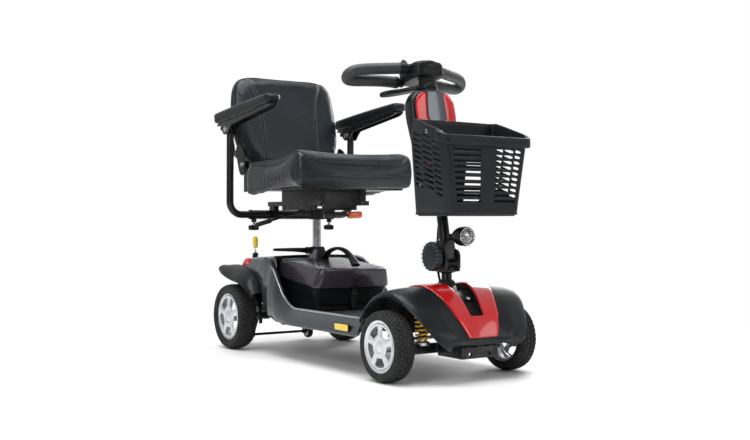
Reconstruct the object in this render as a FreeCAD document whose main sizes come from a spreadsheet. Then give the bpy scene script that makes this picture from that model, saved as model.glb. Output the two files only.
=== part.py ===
"""Four-wheel travel mobility scooter, as an assembly of separate named pieces.

Frame: millimetres, +Z up, forward is -Y, +X is the rider's left. The origin is on the floor, in the
middle of the bounding box. Every piece is a document object whose Label names its STEP file.
"""
import FreeCAD, Part
import math
import os
import Sketcher

from FreeCAD import Placement, Rotation, Vector

doc = FreeCAD.newDocument("mobility_scooter")
X_AXIS, Y_AXIS, Z_AXIS = Vector(1, 0, 0), Vector(0, 1, 0), Vector(0, 0, 1)


# ---------------------------------------------------------------- sizes

class Size:
    """A length from the sheet, or worked out from one, that keeps its expression beside its value."""

    def __init__(self, value, text):
        self.value = float(value)
        self.text = text

    def __add__(self, other):
        return Size(self.value + number(other), f"({self.text} + {words(other)})")

    def __sub__(self, other):
        return Size(self.value - number(other), f"({self.text} - {words(other)})")

    def __mul__(self, other):
        return Size(self.value * number(other), f"({self.text} * {words(other)})")

    def __truediv__(self, other):
        return Size(self.value / number(other), f"({self.text} / {words(other)})")

    def __radd__(self, other):
        return Size(number(other) + self.value, f"({words(other)} + {self.text})")

    def __rsub__(self, other):
        return Size(number(other) - self.value, f"({words(other)} - {self.text})")

    def __rmul__(self, other):
        return Size(number(other) * self.value, f"({words(other)} * {self.text})")

    def __neg__(self):
        return Size(-self.value, f"(0 - {self.text})")

    def __lt__(self, other):
        return self.value < number(other)

    def __gt__(self, other):
        return self.value > number(other)


def number(size):
    return size.value if isinstance(size, Size) else float(size)


def words(size):
    return size.text if isinstance(size, Size) else f"({float(size)})"


def bind(obj, prop, size):
    """Sets a property, through an expression when its size comes from the sheet."""
    if isinstance(size, Size):
        obj.setExpression(prop, size.text)
    else:
        setattr(obj, prop, size)


def bind_base(obj, x, y, z):
    obj.Placement.Base = Vector(number(x), number(y), number(z))
    for letter, size in zip("xyz", (x, y, z)):
        if isinstance(size, Size):
            obj.setExpression(f"Placement.Base.{letter}", size.text)


SIZES = {
    # wheels
    "front_wheel_radius": 100,
    "rear_wheel_radius": 112.5,
    "front_rim_radius": 71,
    "rear_rim_radius": 82,
    "front_tyre_width": 60,
    "rear_tyre_width": 66,
    "front_axle_y": -433,
    "rear_axle_y": 493,
    "front_wheel_x": 220,
    "rear_wheel_x": 225,
    "axle_radius": 8,
    "running_gap": 0.1,
    # front axle and steering
    "kingpin_x": 175,
    "kingpin_radius": 6,
    "steering_arm": 45,
    "beam_low": 72,
    "beam_high": 98,
    "spring_x": 100,
    "spring_radius": 18,
    "spring_wire": 2.8,
    "tower_z": 203,
    "steering_y": -418,
    "stem_radius": 15,
    "arm_low": 119,
    "arm_high": 127,
    "rod_z": 108,
    "rod_radius": 5.5,
    "tilt_z": 344,
    "tiller_lean": 10.5,
    # frame
    "rail_inner": 98,
    "rail_outer": 122,
    "rail_low": 122,
    "rail_high": 146,
    "frame_front": -350,
    "frame_rear": 558,
    "hitch_front": -568,
    "hitch_half_width": 64,
    "hitch_hole_x": 34,
    "hitch_hole_z": 78,
    "hitch_hole_radius": 5.5,
    "anti_tip_y": 585,
    "anti_tip_z": 33,
    "anti_tip_x": 124,
    "anti_tip_radius": 25,
    # bodywork
    "skirt_x": 232,
    "skirt_low": 113,
    "skirt_high": 164,
    "deck_x": 205,
    "deck_top": 150,
    "deck_front": -305,
    "shell_x": 200,
    "bay_x": 151,
    "bay_rear": 356,
    "skin": 4,
    "fender_x": 225,
    # seat
    "post_y": 313,
    "post_radius": 15,
    "post_top": 468,
    "socket_top": 356,
    "receiver_y": 485,
    "receiver_z": 467,
    "receiver_half": 172,
    "arm_tube_radius": 12.5,
    "arm_x": 248,
    "arm_pivot_z": 762,
    "pad_half_width": 28,
    "seat_half_width": 228,
    "seat_front": 42,
    "seat_rear": 430,
    "seat_low": 557,
    "seat_high": 650,
    "back_pivot_y": 465,
    "back_pivot_z": 640,
    "back_half_width": 216,
    "back_front": 8,
    "back_rear": 70,
    "back_recline": 12,
    # battery box
    "box_half_width": 142,
    "box_front": 72,
    "box_rear": 345,
    "box_low": 150.2,
    "box_high": 226,
    # basket and tiller head
    "basket_front": -605,
    "basket_low": 463,
    "basket_rim": 675,
    "basket_wall": 3.5,
    "tube_radius": 16,
    "console_half_width": 49,
    "console_low": 532,
    "console_high": 577,
    "loop_bar_radius": 17,
}


class Sheet:
    """Writes the sizes into a spreadsheet, one named cell each, and hands them back as Size values."""

    def __init__(self, sizes):
        table = doc.addObject("Spreadsheet::Sheet", "dims")
        for row, (name, value) in enumerate(sizes.items(), start=1):
            table.set(f"A{row}", name)
            table.set(f"B{row}", str(value))
            table.setAlias(f"B{row}", name)
            setattr(self, name, Size(value, f"dims.{name}"))


S = Sheet(SIZES)
doc.recompute()
nodes = {}


# ---------------------------------------------------------------- building blocks

def keep(label, obj, placement=None):
    """Makes obj a finished piece: its Label names its file."""
    obj.Label = label
    if placement is not None:
        obj.Placement = placement
    nodes[label] = obj
    return obj


def block(x, y, z):
    """A box between two limits on each axis."""
    obj = doc.addObject("Part::Box", "block")
    for prop, (low, high) in zip(("Length", "Width", "Height"), (x, y, z)):
        span = high - low
        bind(obj, prop, span)
    bind_base(obj, x[0], y[0], z[0])
    return obj


TURN = {"X": Rotation(Y_AXIS, 90), "Y": Rotation(X_AXIS, -90), "Z": Rotation()}


def bar(axis, radius, start, length):
    """A round bar from start along +X, +Y or +Z."""
    obj = doc.addObject("Part::Cylinder", "bar")
    bind(obj, "Radius", radius)
    bind(obj, "Height", length)
    obj.Placement.Rotation = TURN[axis]
    bind_base(obj, *start)
    return obj


def taper(axis, low_radius, high_radius, start, length):
    obj = doc.addObject("Part::Cone", "taper")
    bind(obj, "Radius1", low_radius)
    bind(obj, "Radius2", high_radius)
    bind(obj, "Height", length)
    obj.Placement.Rotation = TURN[axis]
    bind_base(obj, *start)
    return obj


def fuse(*parts):
    if len(parts) == 1:
        return parts[0]
    obj = doc.addObject("Part::MultiFuse", "fuse")
    obj.Shapes = list(parts)
    obj.Refine = True
    return obj


def cut(base, *tools):
    obj = doc.addObject("Part::Cut", "cut")
    obj.Base = base
    obj.Tool = fuse(*tools)
    return obj


def rounded(base, radius, chosen):
    """Rounds the edges that chosen(edge) picks on base."""
    doc.recompute()
    obj = doc.addObject("Part::Fillet", "rounded")
    obj.Base = base
    edges = [i for i, edge in enumerate(base.Shape.Edges, start=1) if chosen(edge)]
    obj.Edges = [(i, radius, radius) for i in edges]
    return obj


def along(axis, edge):
    """True for a straight edge parallel to the axis."""
    if edge.Curve.TypeId != "Part::GeomLine":
        return False
    return abs(edge.tangentAt(edge.FirstParameter).dot(axis)) > 0.999


def shape_node(name, shape):
    """A piece whose shape no feature makes, such as a bent tube."""
    obj = doc.addObject("Part::Feature", name)
    obj.Shape = shape
    return obj


def pipe(points, radius, bend, bore=0):
    """A round tube along straight runs joined by arcs of the bend radius."""
    path = [Vector(*[number(c) for c in p]) for p in points]
    edges = []
    here = path[0]
    for before, corner, after in zip(path, path[1:], path[2:]):
        arrive = (corner - before).normalize()
        leave = (after - corner).normalize()
        turn = arrive.getAngle(leave)
        back = bend * math.tan(turn / 2)
        start, end = corner - arrive * back, corner + leave * back
        inward = (leave - arrive).normalize()
        middle = corner + inward * (bend / math.cos(turn / 2) - bend)
        edges.append(Part.LineSegment(here, start).toShape())
        edges.append(Part.Arc(start, middle, end).toShape())
        here = end
    edges.append(Part.LineSegment(here, path[-1]).toShape())
    spine = Part.Wire(edges)
    heading = path[1] - path[0]

    def swept(r):
        ring = Part.Wire(Part.makeCircle(r, path[0], heading))
        return spine.makePipeShell([ring], True, False)

    solid = swept(radius)
    return solid.cut(swept(bore)) if bore else solid


def plane_of(body, role):
    return [f for f in body.Origin.OriginFeatures if f.Role == role][0]


def new_body(name):
    return doc.addObject("PartDesign::Body", name)


def sketch_on(body, role, offset=0):
    """A sketch on one of the body's origin planes, moved along the plane's normal by offset."""
    sketch = body.newObject("Sketcher::SketchObject", "outline")
    sketch.AttachmentSupport = (plane_of(body, role), [""])
    sketch.MapMode = "FlatFace"
    if isinstance(offset, Size):
        sketch.setExpression("AttachmentOffset.Base.z", offset.text)
    else:
        sketch.AttachmentOffset = Placement(Vector(0, 0, offset), Rotation())
    return sketch


def polygon(sketch, corners):
    """A closed outline with every corner held by a distance from the sketch's origin."""
    first = sketch.GeometryCount
    flat = [Vector(number(u), number(v), 0) for u, v in corners]
    for a, b in zip(flat, flat[1:] + flat[:1]):
        sketch.addGeometry(Part.LineSegment(a, b), False)
    count = len(corners)
    for i, (u, v) in enumerate(corners):
        line = first + i
        sketch.addConstraint(Sketcher.Constraint("Coincident", line, 2, first + (i + 1) % count, 1))
        for kind, size in (("DistanceX", u), ("DistanceY", v)):
            held = sketch.addConstraint(Sketcher.Constraint(kind, -1, 1, line, 1, number(size)))
            if isinstance(size, Size):
                sketch.setExpression(f"Constraints[{held}]", size.text)
    return sketch


def circle(sketch, centre, radius):
    spot = sketch.addGeometry(Part.Circle(Vector(number(centre[0]), number(centre[1]), 0), Z_AXIS, number(radius)), False)
    for kind, size in (("DistanceX", centre[0]), ("DistanceY", centre[1])):
        held = sketch.addConstraint(Sketcher.Constraint(kind, -1, 1, spot, 3, number(size)))
        if isinstance(size, Size):
            sketch.setExpression(f"Constraints[{held}]", size.text)
    held = sketch.addConstraint(Sketcher.Constraint("Radius", spot, number(radius)))
    if isinstance(radius, Size):
        sketch.setExpression(f"Constraints[{held}]", radius.text)
    return sketch


def pad(body, sketch, length, both_ways=False):
    feature = body.newObject("PartDesign::Pad", "pad")
    feature.Profile = sketch
    bind(feature, "Length", length)
    feature.Midplane = both_ways
    return feature


def pocket(body, sketch, length, both_ways=True):
    feature = body.newObject("PartDesign::Pocket", "pocket")
    feature.Profile = sketch
    bind(feature, "Length", length)
    feature.Midplane = both_ways
    return feature


def fillet(body, feature, radius, chosen):
    doc.recompute()
    edges = [f"Edge{i}" for i, e in enumerate(feature.Shape.Edges, start=1) if chosen(e)]
    soft = body.newObject("PartDesign::Fillet", "fillet")
    soft.Base = (feature, edges)
    soft.Radius = radius
    return soft


def revolve(body, sketch, axis="H_Axis"):
    feature = body.newObject("PartDesign::Revolution", "revolution")
    feature.Profile = sketch
    feature.ReferenceAxis = (sketch, [axis])
    feature.Angle = 360
    return feature


def prism(role, corners, low, high):
    """A straight prism on an origin plane, between two distances along X (YZ), Y (XZ) or Z (XY)."""
    body = new_body("prism")
    start = -high if role == "XZ_Plane" else low
    sketch = polygon(sketch_on(body, role, start), corners)
    pad(body, sketch, high - low)
    return body


def common(base, tool):
    obj = doc.addObject("Part::Common", "common")
    obj.Base = base
    obj.Tool = tool
    return obj


def span(side, near, far):
    """The x limits between two distances from the middle plane, on one side of it."""
    return (near, far) if side > 0 else (-far, -near)


def both(make):
    """The pieces made for the right-hand and left-hand sides."""
    return [make(-1), make(1)]


SIDES = (-1, 1)
GAP = S.running_gap


# ---------------------------------------------------------------- frame

def main_frame():
    """Twin rails, front tower with head tube, seat-post socket, hitch bracket and anti-tip hangers."""
    parts = []
    for side in SIDES:
        rail = span(side, S.rail_inner, S.rail_outer)
        parts.append(block(rail, (S.frame_front, S.frame_rear), (S.rail_low, S.rail_high)))
        parts.append(block(rail, (S.rear_axle_y - 20, S.rear_axle_y + 20), (S.rear_wheel_radius - 14, S.rail_high)))
        arm = span(side, S.hitch_half_width - 14, S.hitch_half_width - 2)
        parts.append(block(arm, (-472, -457), (66, 211)))
        parts.append(block(arm, (S.hitch_front + 4, -457), (66, 97)))
        hanger = ((520, 130), (550, 130), (597, 42), (597, 24), (574, 24), (572, 44))
        parts.append(prism("YZ_Plane", hanger, *span(side, S.rail_inner + 7, S.rail_inner + 13)))
    tower = ((-472, 203), (-472, 211), (-380, 211), (-350, 198), (-350, 122), (-362, 122), (-362, 188), (-384, 203))
    parts.append(prism("YZ_Plane", tower, -S.rail_outer, S.rail_outer))
    parts.append(bar("Z", S.stem_radius + 7, (0, S.steering_y, 150), 109))
    parts.append(block((-S.rail_outer, S.rail_outer), (285, 341), (S.rail_low, S.rail_high)))
    parts.append(block((-S.rail_outer, S.rail_outer), (537, S.frame_rear), (S.rail_low, S.rail_high)))
    parts.append(bar("Z", S.post_radius + 6, (0, S.post_y, S.rail_low), S.socket_top - S.rail_low))
    parts.append(block((-24, -6), (S.post_y + 8, S.post_y + 38), (330, 354)))
    parts.append(bar("Y", 3, (-15, S.post_y + 30, 342), 29))
    hitch = block((-S.hitch_half_width, S.hitch_half_width), (S.hitch_front, S.hitch_front + 8), (66, 97))
    parts.append(hitch)
    holes = [bar("Z", S.stem_radius + GAP, (0, S.steering_y, 140), 140)]
    holes.append(bar("Z", S.post_radius + GAP, (0, S.post_y, 130), 240))
    holes.append(bar("X", 9.5, (-130, S.rear_axle_y, S.rear_wheel_radius), 260))
    holes.append(bar("X", 5 + GAP, (-130, S.anti_tip_y, S.anti_tip_z), 260))
    for side in SIDES:
        spot = S.hitch_hole_x * side
        holes.append(bar("Y", S.hitch_hole_radius, (spot, S.hitch_front - 5, S.hitch_hole_z), 30))
    keep("main_frame", cut(fuse(*parts), *holes))


def body_shell():
    """Deck with raised rims, skirts, and the rear housing around the battery bay and over the drive."""
    low_outline = ((S.deck_front, S.skirt_low), (S.deck_front, S.skirt_high), (120, S.skirt_high), (181, 196),
                   (240, 230), (300, 240), (340, 239), (322, 180), (249, 126), (95, S.skirt_low))
    high_outline = ((190, 146), (190, 212), (250, 276), (287, 304), (326, 323), (465, 314), (482, 300), (545, 250),
                    (552, 146))
    inner_high = ((196, 100), (196, 213), (253, 274), (289, 300.5), (327, 318.5), (464, 309.5), (479, 297), (541, 248),
                  (548, 100))
    outer = fuse(prism("YZ_Plane", low_outline, -S.skirt_x, S.skirt_x),
                 prism("YZ_Plane", high_outline, -S.shell_x, S.shell_x))
    hollow = [block((-S.deck_x, S.deck_x), (-320, 203), (S.deck_top, 240))]
    hollow.append(block((-S.skirt_x + S.skin, S.skirt_x - S.skin), (-320, 345), (90, S.rail_high)))
    inner = prism("YZ_Plane", inner_high, -S.shell_x + S.skin, S.shell_x - S.skin)
    rear_half = block((-S.shell_x, S.shell_x), (S.bay_rear + S.skin, 560), (90, 330))
    hollow.append(common(inner, rear_half))
    for side in SIDES:
        inner = prism("YZ_Plane", inner_high, *span(side, S.bay_x + S.skin, S.shell_x - S.skin))
        hollow.append(common(inner, block(span(side, 150, 230), (200, S.bay_rear + 5), (100, 330))))
        hollow.append(block(span(side, 184, 240), (346, 620), (90, 232)))
    hollow.append(block((-S.bay_x, S.bay_x), (190, S.bay_rear), (S.deck_top, 340)))
    hollow.append(bar("Z", S.post_radius + 7, (0, S.post_y, 100), 80))
    parts = [cut(outer, *hollow)]
    for side in SIDES:
        parts.append(block(span(side, 180, 184), (360, 549), (150, 236)))
        parts.append(block(span(side, 180, S.shell_x), (350, 549), (232, 236)))
    parts.append(block((-166, -159), (474, 492), (295, 326)))
    parts.append(bar("X", 3, (-160, 483, 318), 20))
    keep("body_shell", fuse(*parts))


def foot_mat():
    """Ribbed rubber mat lying on the deck."""
    mat = block((-190, 190), (-288, 60), (S.deck_top, S.deck_top + 3))
    ribs = [block((-180, 180), (-280 + 22 * i, -270 + 22 * i), (S.deck_top + 2.5, S.deck_top + 4.5)) for i in range(16)]
    keep("foot_mat", fuse(mat, *ribs))


def front_fender():
    """One moulding over both front wheels, open in the middle where the cowl sits."""
    band = ((-305.5, 162), (-336, 205), (-381, 235), (-426, 249), (-490, 240), (-545, 192), (-575, 149), (-606, 111),
            (-600, 95), (-564, 90), (-564, 96), (-594, 101), (-597, 112), (-569, 147), (-540, 187), (-487, 234),
            (-426, 243), (-383, 229), (-340, 201), (-311, 158))
    plan = ((-S.fender_x, -305), (S.fender_x, -305), (S.fender_x, -520), (205, -578), (150, -608), (-150, -608),
            (-205, -578), (-S.fender_x, -520))
    skin = common(prism("YZ_Plane", band, -S.fender_x, S.fender_x), prism("XY_Plane", plan, 80, 260))
    opening = ((-52, 119), (-126, 270), (126, 270), (52, 119), (104, 119), (104, 80), (-104, 80), (-104, 119))
    mouth = prism("XZ_Plane", opening, -620, -440)
    neck = bar("Z", S.stem_radius + 9, (0, S.steering_y, 220), 60)
    keep("front_fender", cut(skin, mouth, neck))


def front_cowl():
    """Painted shield between the fenders, tapering down to the hitch bracket."""
    band = ((-400, 267), (-468, 271), (-546, 192), (-573, 120), (-567, 118), (-541, 188), (-465, 265), (-400, 261))
    front = ((-47, 118), (-122, 264), (-122, 275), (122, 275), (122, 264), (47, 118))
    shield = common(prism("YZ_Plane", band, -125, 125), prism("XZ_Plane", front, -580, -395))
    keep("front_cowl", cut(shield, bar("Z", S.stem_radius + 5, (0, S.steering_y, 240), 60)))


def rear_fenders():
    """An arch over each rear wheel."""
    arch = ((345, 196), (352, 196), (378, 231), (430, 243), (477, 246), (540, 256), (591, 274), (589, 280),
            (500, 285), (430, 276), (377, 252), (352, 225))
    under = ((352, 205), (380, 236), (430, 250), (500, 262), (560, 266), (500, 278), (430, 270), (380, 247))
    parts = []
    for side in SIDES:
        solid = prism("YZ_Plane", arch, *span(side, S.shell_x + 0.5, S.shell_x + 45))
        parts.append(cut(solid, prism("YZ_Plane", under, *span(side, S.shell_x - 4, S.shell_x + 38))))
    keep("rear_fenders", fuse(*parts))


def reflectors():
    """Side reflectors on the skirts and tail reflectors on the rear slope."""
    parts = []
    for side in SIDES:
        parts.append(block(span(side, S.skirt_x, S.skirt_x + 3), (-256, -185), (127, 143)))
        tail = ((494, 291.5), (526, 266), (530, 272), (498, 298))
        parts.append(prism("YZ_Plane", tail, *span(side, 150, 192)))
    keep("reflectors", fuse(*parts))


def transaxle():
    """Differential housing, axle tubes and the shafts that carry the rear wheels."""
    centre = (S.rear_axle_y, S.rear_wheel_radius)
    housing = bar("X", 42, (-34, *centre), 68)
    tubes = bar("X", 9.4, (-180, *centre), 360)
    shafts = bar("X", S.axle_radius, (-S.rear_wheel_x - 26, *centre), S.rear_wheel_x * 2 + 52)
    neck = bar("Y", 24, (50, 450.6, S.rear_wheel_radius), 33.4)
    keep("transaxle", fuse(housing, tubes, shafts, neck))


def drive_motor():
    motor = bar("Y", 33, (50, 352, S.rear_wheel_radius), 98.5)
    brake = bar("Y", 24, (50, 346, S.rear_wheel_radius), 7)
    keep("drive_motor", fuse(motor, brake))


def controller():
    """Sealed motor controller, finned on top."""
    case = block((-S.rail_inner, -16), (356, 448), (102, 140))
    fins = [block((-S.rail_inner + 8, -24), (362 + 12 * i, 366 + 12 * i), (139, 146)) for i in range(7)]
    keep("controller", fuse(case, *fins))


# ---------------------------------------------------------------- battery box

def battery_tub():
    outer = block((-S.box_half_width, S.box_half_width), (S.box_front, S.box_rear), (S.box_low, S.box_high))
    inner = block((-S.box_half_width + 4, S.box_half_width - 4), (S.box_front + 4, 282), (S.box_low + 4, 240))
    notch = block((-26, 26), (286, 360), (140, 240))
    keep("battery_tub", cut(outer, inner, notch))


def battery_lid():
    """Tapered cover, notched behind for the seat-post socket."""
    side = ((80, 226.2), (66, 284), (90, 300), (335, 316), (345, 262), (348, 226.2))
    front = ((-145, 226), (-130, 300), (-118, 318), (118, 318), (130, 300), (145, 226))
    under = ((88, 220), (78, 282), (94, 294), (281, 306), (281, 220))
    cover = common(prism("YZ_Plane", side, -146, 146), prism("XZ_Plane", front, 60, 350))
    lip = prism("XZ_Plane", ((-139, 220), (-124, 300), (124, 300), (139, 220)), 70, 290)
    room = common(prism("YZ_Plane", under, -139, 139), lip)
    notch = block((-26, 26), (286, 360), (200, 340))
    port = bar("Y", 11.1, (0, 50, 262), 50)
    keep("battery_lid", cut(cover, room, notch, port))


def battery_handle():
    grip = pipe(((0, 90, 302), (0, 84, 322), (0, 178, 350), (0, 262, 333), (0, 266, 315)), 8, 12)
    keep("battery_handle", shape_node("handle", grip))


def batteries():
    cells = [block(span(side, 6, 134), (96, 276), (S.box_low + 4, 218)) for side in SIDES]
    posts = [bar("Z", 5, (side * 70, y, 217), 8) for side in SIDES for y in (120, 250)]
    keep("batteries", fuse(*cells, *posts))


def charge_port():
    body = bar("Y", 11, (0, 66, 262), 18)
    keep("charge_port", cut(body, bar("Y", 6, (0, 60, 262), 14)))


# ---------------------------------------------------------------- small moving pieces on the chassis

def freewheel_lever():
    hub = bar("X", 7, (-158.5, 483, 318), 15)
    rod = doc.addObject("Part::Cylinder", "rod")
    rod.Radius = 3.5
    rod.Height = 52
    rod.Placement.Base = Vector(-149, 485, 318)
    grip = bar("Z", 8.5, (-149, 485, 350), 38)
    keep("freewheel_lever", cut(fuse(hub, rod, grip), bar("X", 3 + GAP, (-165, 483, 318), 30)))


def frame_release_lever():
    hub = bar("Y", 8, (-15, 351.5, 342), 20)
    rod = bar("X", 4, (-110, 362, 342), 92)
    grip = bar("X", 7, (-142, 362, 342), 40)
    keep("frame_release_lever", cut(fuse(hub, rod, grip), bar("Y", 3 + GAP, (-15, 345, 342), 40)))


def anti_tip_wheels():
    """Two small rollers on one cross shaft."""
    shaft = bar("X", 5, (-S.anti_tip_x - 11, S.anti_tip_y, S.anti_tip_z), S.anti_tip_x * 2 + 22)
    rollers = [bar("X", S.anti_tip_radius, (side * S.anti_tip_x - 9, S.anti_tip_y, S.anti_tip_z), 18)
               for side in SIDES]
    keep("anti_tip_wheels", fuse(shaft, *rollers))


# ---------------------------------------------------------------- front axle

def front_axle_beam():
    """Cross beam with a fork and kingpin at each end."""
    y = S.front_axle_y
    parts = [block((-150, 150), (y - 13, y + 13), (S.beam_low, S.beam_high))]
    for side in SIDES:
        parts.append(block(span(side, 140, 152), (y - 11, y + 11), (S.beam_low, 140)))
        ear = span(side, 140, S.kingpin_x)
        for low in (S.beam_low, S.beam_low + 60):
            parts.append(block(ear, (y - 12, y + 12), (low, low + 8)))
            parts.append(bar("Z", 12, (S.kingpin_x * side, y, low), 8))
        parts.append(bar("Z", S.kingpin_radius, (S.kingpin_x * side, y, S.beam_low), 70))
        parts.append(bar("Z", 12, (S.spring_x * side, y, S.beam_high - 2), 14))
    keep("front_axle_beam", fuse(*parts))


def front_springs():
    """A coil each side between the beam and the front tower."""
    height = 203 - 98
    coils = []
    for side in SIDES:
        helix = Part.makeHelix(14, height - 6, 18)
        ring = Part.Wire(Part.makeCircle(2.8, Vector(18, 0, 0), Y_AXIS))
        coil = Part.Wire(helix).makePipeShell([ring], True, True)
        coil.translate(Vector(side * 100, -433, 98 + 3))
        coils.append(coil)
    keep("front_springs", shape_node("springs", Part.makeCompound(coils)))


def knuckle(side, label):
    """Barrel on the kingpin with the wheel spindle and the steering arm."""
    x, y = S.kingpin_x * side, S.front_axle_y
    z = S.front_wheel_radius
    reach = S.front_wheel_x - S.kingpin_x + 26
    barrel = bar("Z", 12, (x, y, 80.2), 51.6)
    start = x if side > 0 else x - reach
    spindle = bar("X", S.axle_radius, (start, y, z), reach)
    flange = bar("X", 14, (x + side * 8 - (0 if side > 0 else 9.7), y, z), 9.7)
    arm = block((x - 6, x + 6), (y, y + S.steering_arm), (S.arm_low, S.arm_high))
    eye = bar("Z", 9, (x, y + S.steering_arm, S.arm_low), 8)
    bore = bar("Z", S.kingpin_radius + GAP, (x, y, 70), 80)
    pin_hole = bar("Z", 4 + GAP, (x, y + S.steering_arm, 110), 30)
    keep(label, cut(fuse(barrel, spindle, flange, arm, eye), bore, pin_hole))


def tie_rods():
    """One rod to each knuckle from a shared eye under the pitman arm; the pins stand up from the eyes."""
    hub_y = S.steering_y + S.steering_arm
    end_y = S.front_axle_y + S.steering_arm
    parts = [bar("Z", 9, (0, hub_y, S.rod_z - 6), 12), bar("Z", 4, (0, hub_y, S.rod_z), 24)]
    for side in SIDES:
        end = Vector(side * 175, -388, 108)
        start = Vector(0, -373, 108)
        rod = shape_node("rod", Part.makeCylinder(5.5, (end - start).Length, start, end - start))
        parts.append(rod)
        parts.append(bar("Z", 8, (S.kingpin_x * side, end_y, S.rod_z - 6), 12))
        parts.append(bar("Z", 4, (S.kingpin_x * side, end_y, S.rod_z), 36))
    keep("tie_rods", fuse(*parts))


# ---------------------------------------------------------------- wheels

def tyre(label, radius, rim, width, place):
    body = new_body(label)
    sketch = sketch_on(body, "XY_Plane")
    half = width / 2
    profile = ((-half, rim), (-half, radius - 16), (-half + 7, radius - 4), (-half + 16, radius), (-4, radius),
               (-3, radius - 4), (3, radius - 4), (4, radius), (half - 16, radius), (half - 7, radius - 4),
               (half, radius - 16), (half, rim))
    revolve(body, polygon(sketch, profile))
    keep(label, body, place)


def rim(label, radius, place):
    """Dished wheel with a hub, five windows and a full-width barrel."""
    body = new_body(label)
    bore = S.axle_radius + GAP
    profile = ((-27, bore), (26, bore), (26, 18), (22, 24), (22, radius - 9), (27, radius - 5), (27, radius),
               (-27, radius), (-27, radius - 6), (14, radius - 9), (14, 24), (-10, 18), (-27, 18))
    revolve(body, polygon(sketch_on(body, "XY_Plane"), profile))
    window = sketch_on(body, "YZ_Plane")
    polygon(window, ((-7, 30), (7, 30), (17, radius - 15), (-17, radius - 15)))
    hole = pocket(body, window, 120)
    ring = body.newObject("PartDesign::PolarPattern", "windows")
    ring.Originals = [hole]
    ring.Axis = (window, ["N_Axis"])
    ring.Angle = 360
    ring.Occurrences = 5
    body.Tip = ring
    keep(label, body, place)


def wheels():
    outward = {1: Rotation(), -1: Rotation(Z_AXIS, 180)}
    for side, name in ((-1, "right"), (1, "left")):
        front = Placement(Vector(side * 220, -433, 100), outward[side])
        rear = Placement(Vector(side * 225, 493, 112.5), outward[side])
        tyre(f"tyre_front_{name}", S.front_wheel_radius, S.front_rim_radius, S.front_tyre_width, front)
        rim(f"rim_front_{name}", S.front_rim_radius, front)
        tyre(f"tyre_rear_{name}", S.rear_wheel_radius, S.rear_rim_radius, S.rear_tyre_width, rear)
        rim(f"rim_rear_{name}", S.rear_rim_radius, rear)


# ---------------------------------------------------------------- steering column and tiller

def steering_stem():
    """Stem with the pitman arm at its foot and the tilt fork at its head."""
    y = S.steering_y
    stem = bar("Z", S.stem_radius, (0, y, S.arm_low), 190)
    arm = block((-7, 7), (y, y + S.steering_arm), (S.arm_low, S.arm_high))
    eye = bar("Z", 9, (0, y + S.steering_arm, S.arm_low), 8)
    seat = block((-28, 28), (y - 30, y + 24), (300, 314))
    cheeks = [block(span(side, 20.2, 28), (y - 30, y + 24), (300, 368)) for side in SIDES]
    pin = bar("X", 6, (-58, y, S.tilt_z), 86)
    hole = bar("Z", 4 + GAP, (0, y + S.steering_arm, 110), 30)
    keep("steering_stem", cut(fuse(stem, arm, eye, seat, *cheeks, pin), hole))


LEAN = math.radians(number(S.tiller_lean))
TILLER = Placement(Vector(0, -418, 344), Rotation(X_AXIS, -number(S.tiller_lean)))


def in_tiller(y, z):
    """A side-view point in the tiller's own frame: y to the rear of its line, z along it."""
    dy, dz = y + 418, z - 344
    return (dy * math.cos(LEAN) - dz * math.sin(LEAN), dy * math.sin(LEAN) + dz * math.cos(LEAN))


def basket_back(z):
    """Where the rear wall of the basket stands at height z."""
    return -430 - (z - 463) * 0.068


def tiller_tube():
    tongue = block((-19.8, 19.8), (-18, 18), (-8, 46))
    foot = bar("X", 18, (-19.8, 0, 0), 39.6)
    tube = bar("Z", S.tube_radius, (0, 0, 40), 504)
    lug = block((-6, 6), (-36, -10), (43, 59))
    nose = bar("X", 8, (-6, -36, 51), 12)
    lamp_pin = bar("X", 3, (-14, -36, 51), 28)
    y_low, y_high = basket_back(570), basket_back(680)
    plate = prism("YZ_Plane", (in_tiller(y_low + 0.3, 570), in_tiller(y_high + 0.3, 680),
                               in_tiller(y_high + 6, 680), in_tiller(y_low + 6, 570)), -26, 26)
    arm = prism("YZ_Plane", (in_tiller(y_low, 610), in_tiller(y_low - 1, 640), (0, 290), (0, 250)), -11, 11)
    trimmed = cut(arm, prism("YZ_Plane", (in_tiller(y_low + 0.3, 570), in_tiller(y_high + 0.3, 680),
                                          (-160, 360), (-160, 180)), -20, 20))
    bore = bar("X", 6 + GAP, (-30, 0, 0), 60)
    keep("tiller_tube", cut(fuse(tongue, foot, tube, lug, nose, lamp_pin, plate, trimmed), bore), TILLER)


def tiller_cover():
    """Moulded cover over the tiller, widest below the console."""
    front = ((-48, 132), (-62, 260), (-82, 400), (-80, 452), (-56, 485), (56, 485), (80, 452), (82, 400),
             (62, 260), (48, 132))
    body = prism("XZ_Plane", front, -27, 27)
    bore = bar("Z", S.tube_radius + 0.05, (0, 0, 120), 380)
    slot = block((-11.5, 11.5), (-40, 0), (235, 305))
    cable_way = bar("Z", 3.7, (10, 22, 120), 22)
    keep("tiller_cover", cut(rounded(body, 6, lambda e: along(Y_AXIS, e)), bore, slot, cable_way), TILLER)


def tiller_trim():
    """Centre band and the two painted panels on the front of the cover."""
    band = block((-16, 16), (-31, -27), (310, 470))
    parts = [band]
    for side in SIDES:
        panel = ((19, 300), (56, 300), (72, 400), (71, 448), (52, 474), (19, 474), (19, 420), (27, 412), (27, 360),
                 (19, 352))
        parts.append(prism("XZ_Plane", [(side * x, z) for x, z in panel], -31, -27))
    keep("tiller_trim", fuse(*parts), TILLER)


LOOP = ((-30, 72, 528), (-130, 84, 530), (-215, 118, 534), (-215, 84, 578), (-40, 14, 574))


def loop_shape():
    mirrored = [(-x, y, z) for x, y, z in reversed(LOOP)]
    return pipe(LOOP + tuple(mirrored), 17, 26)


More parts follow.
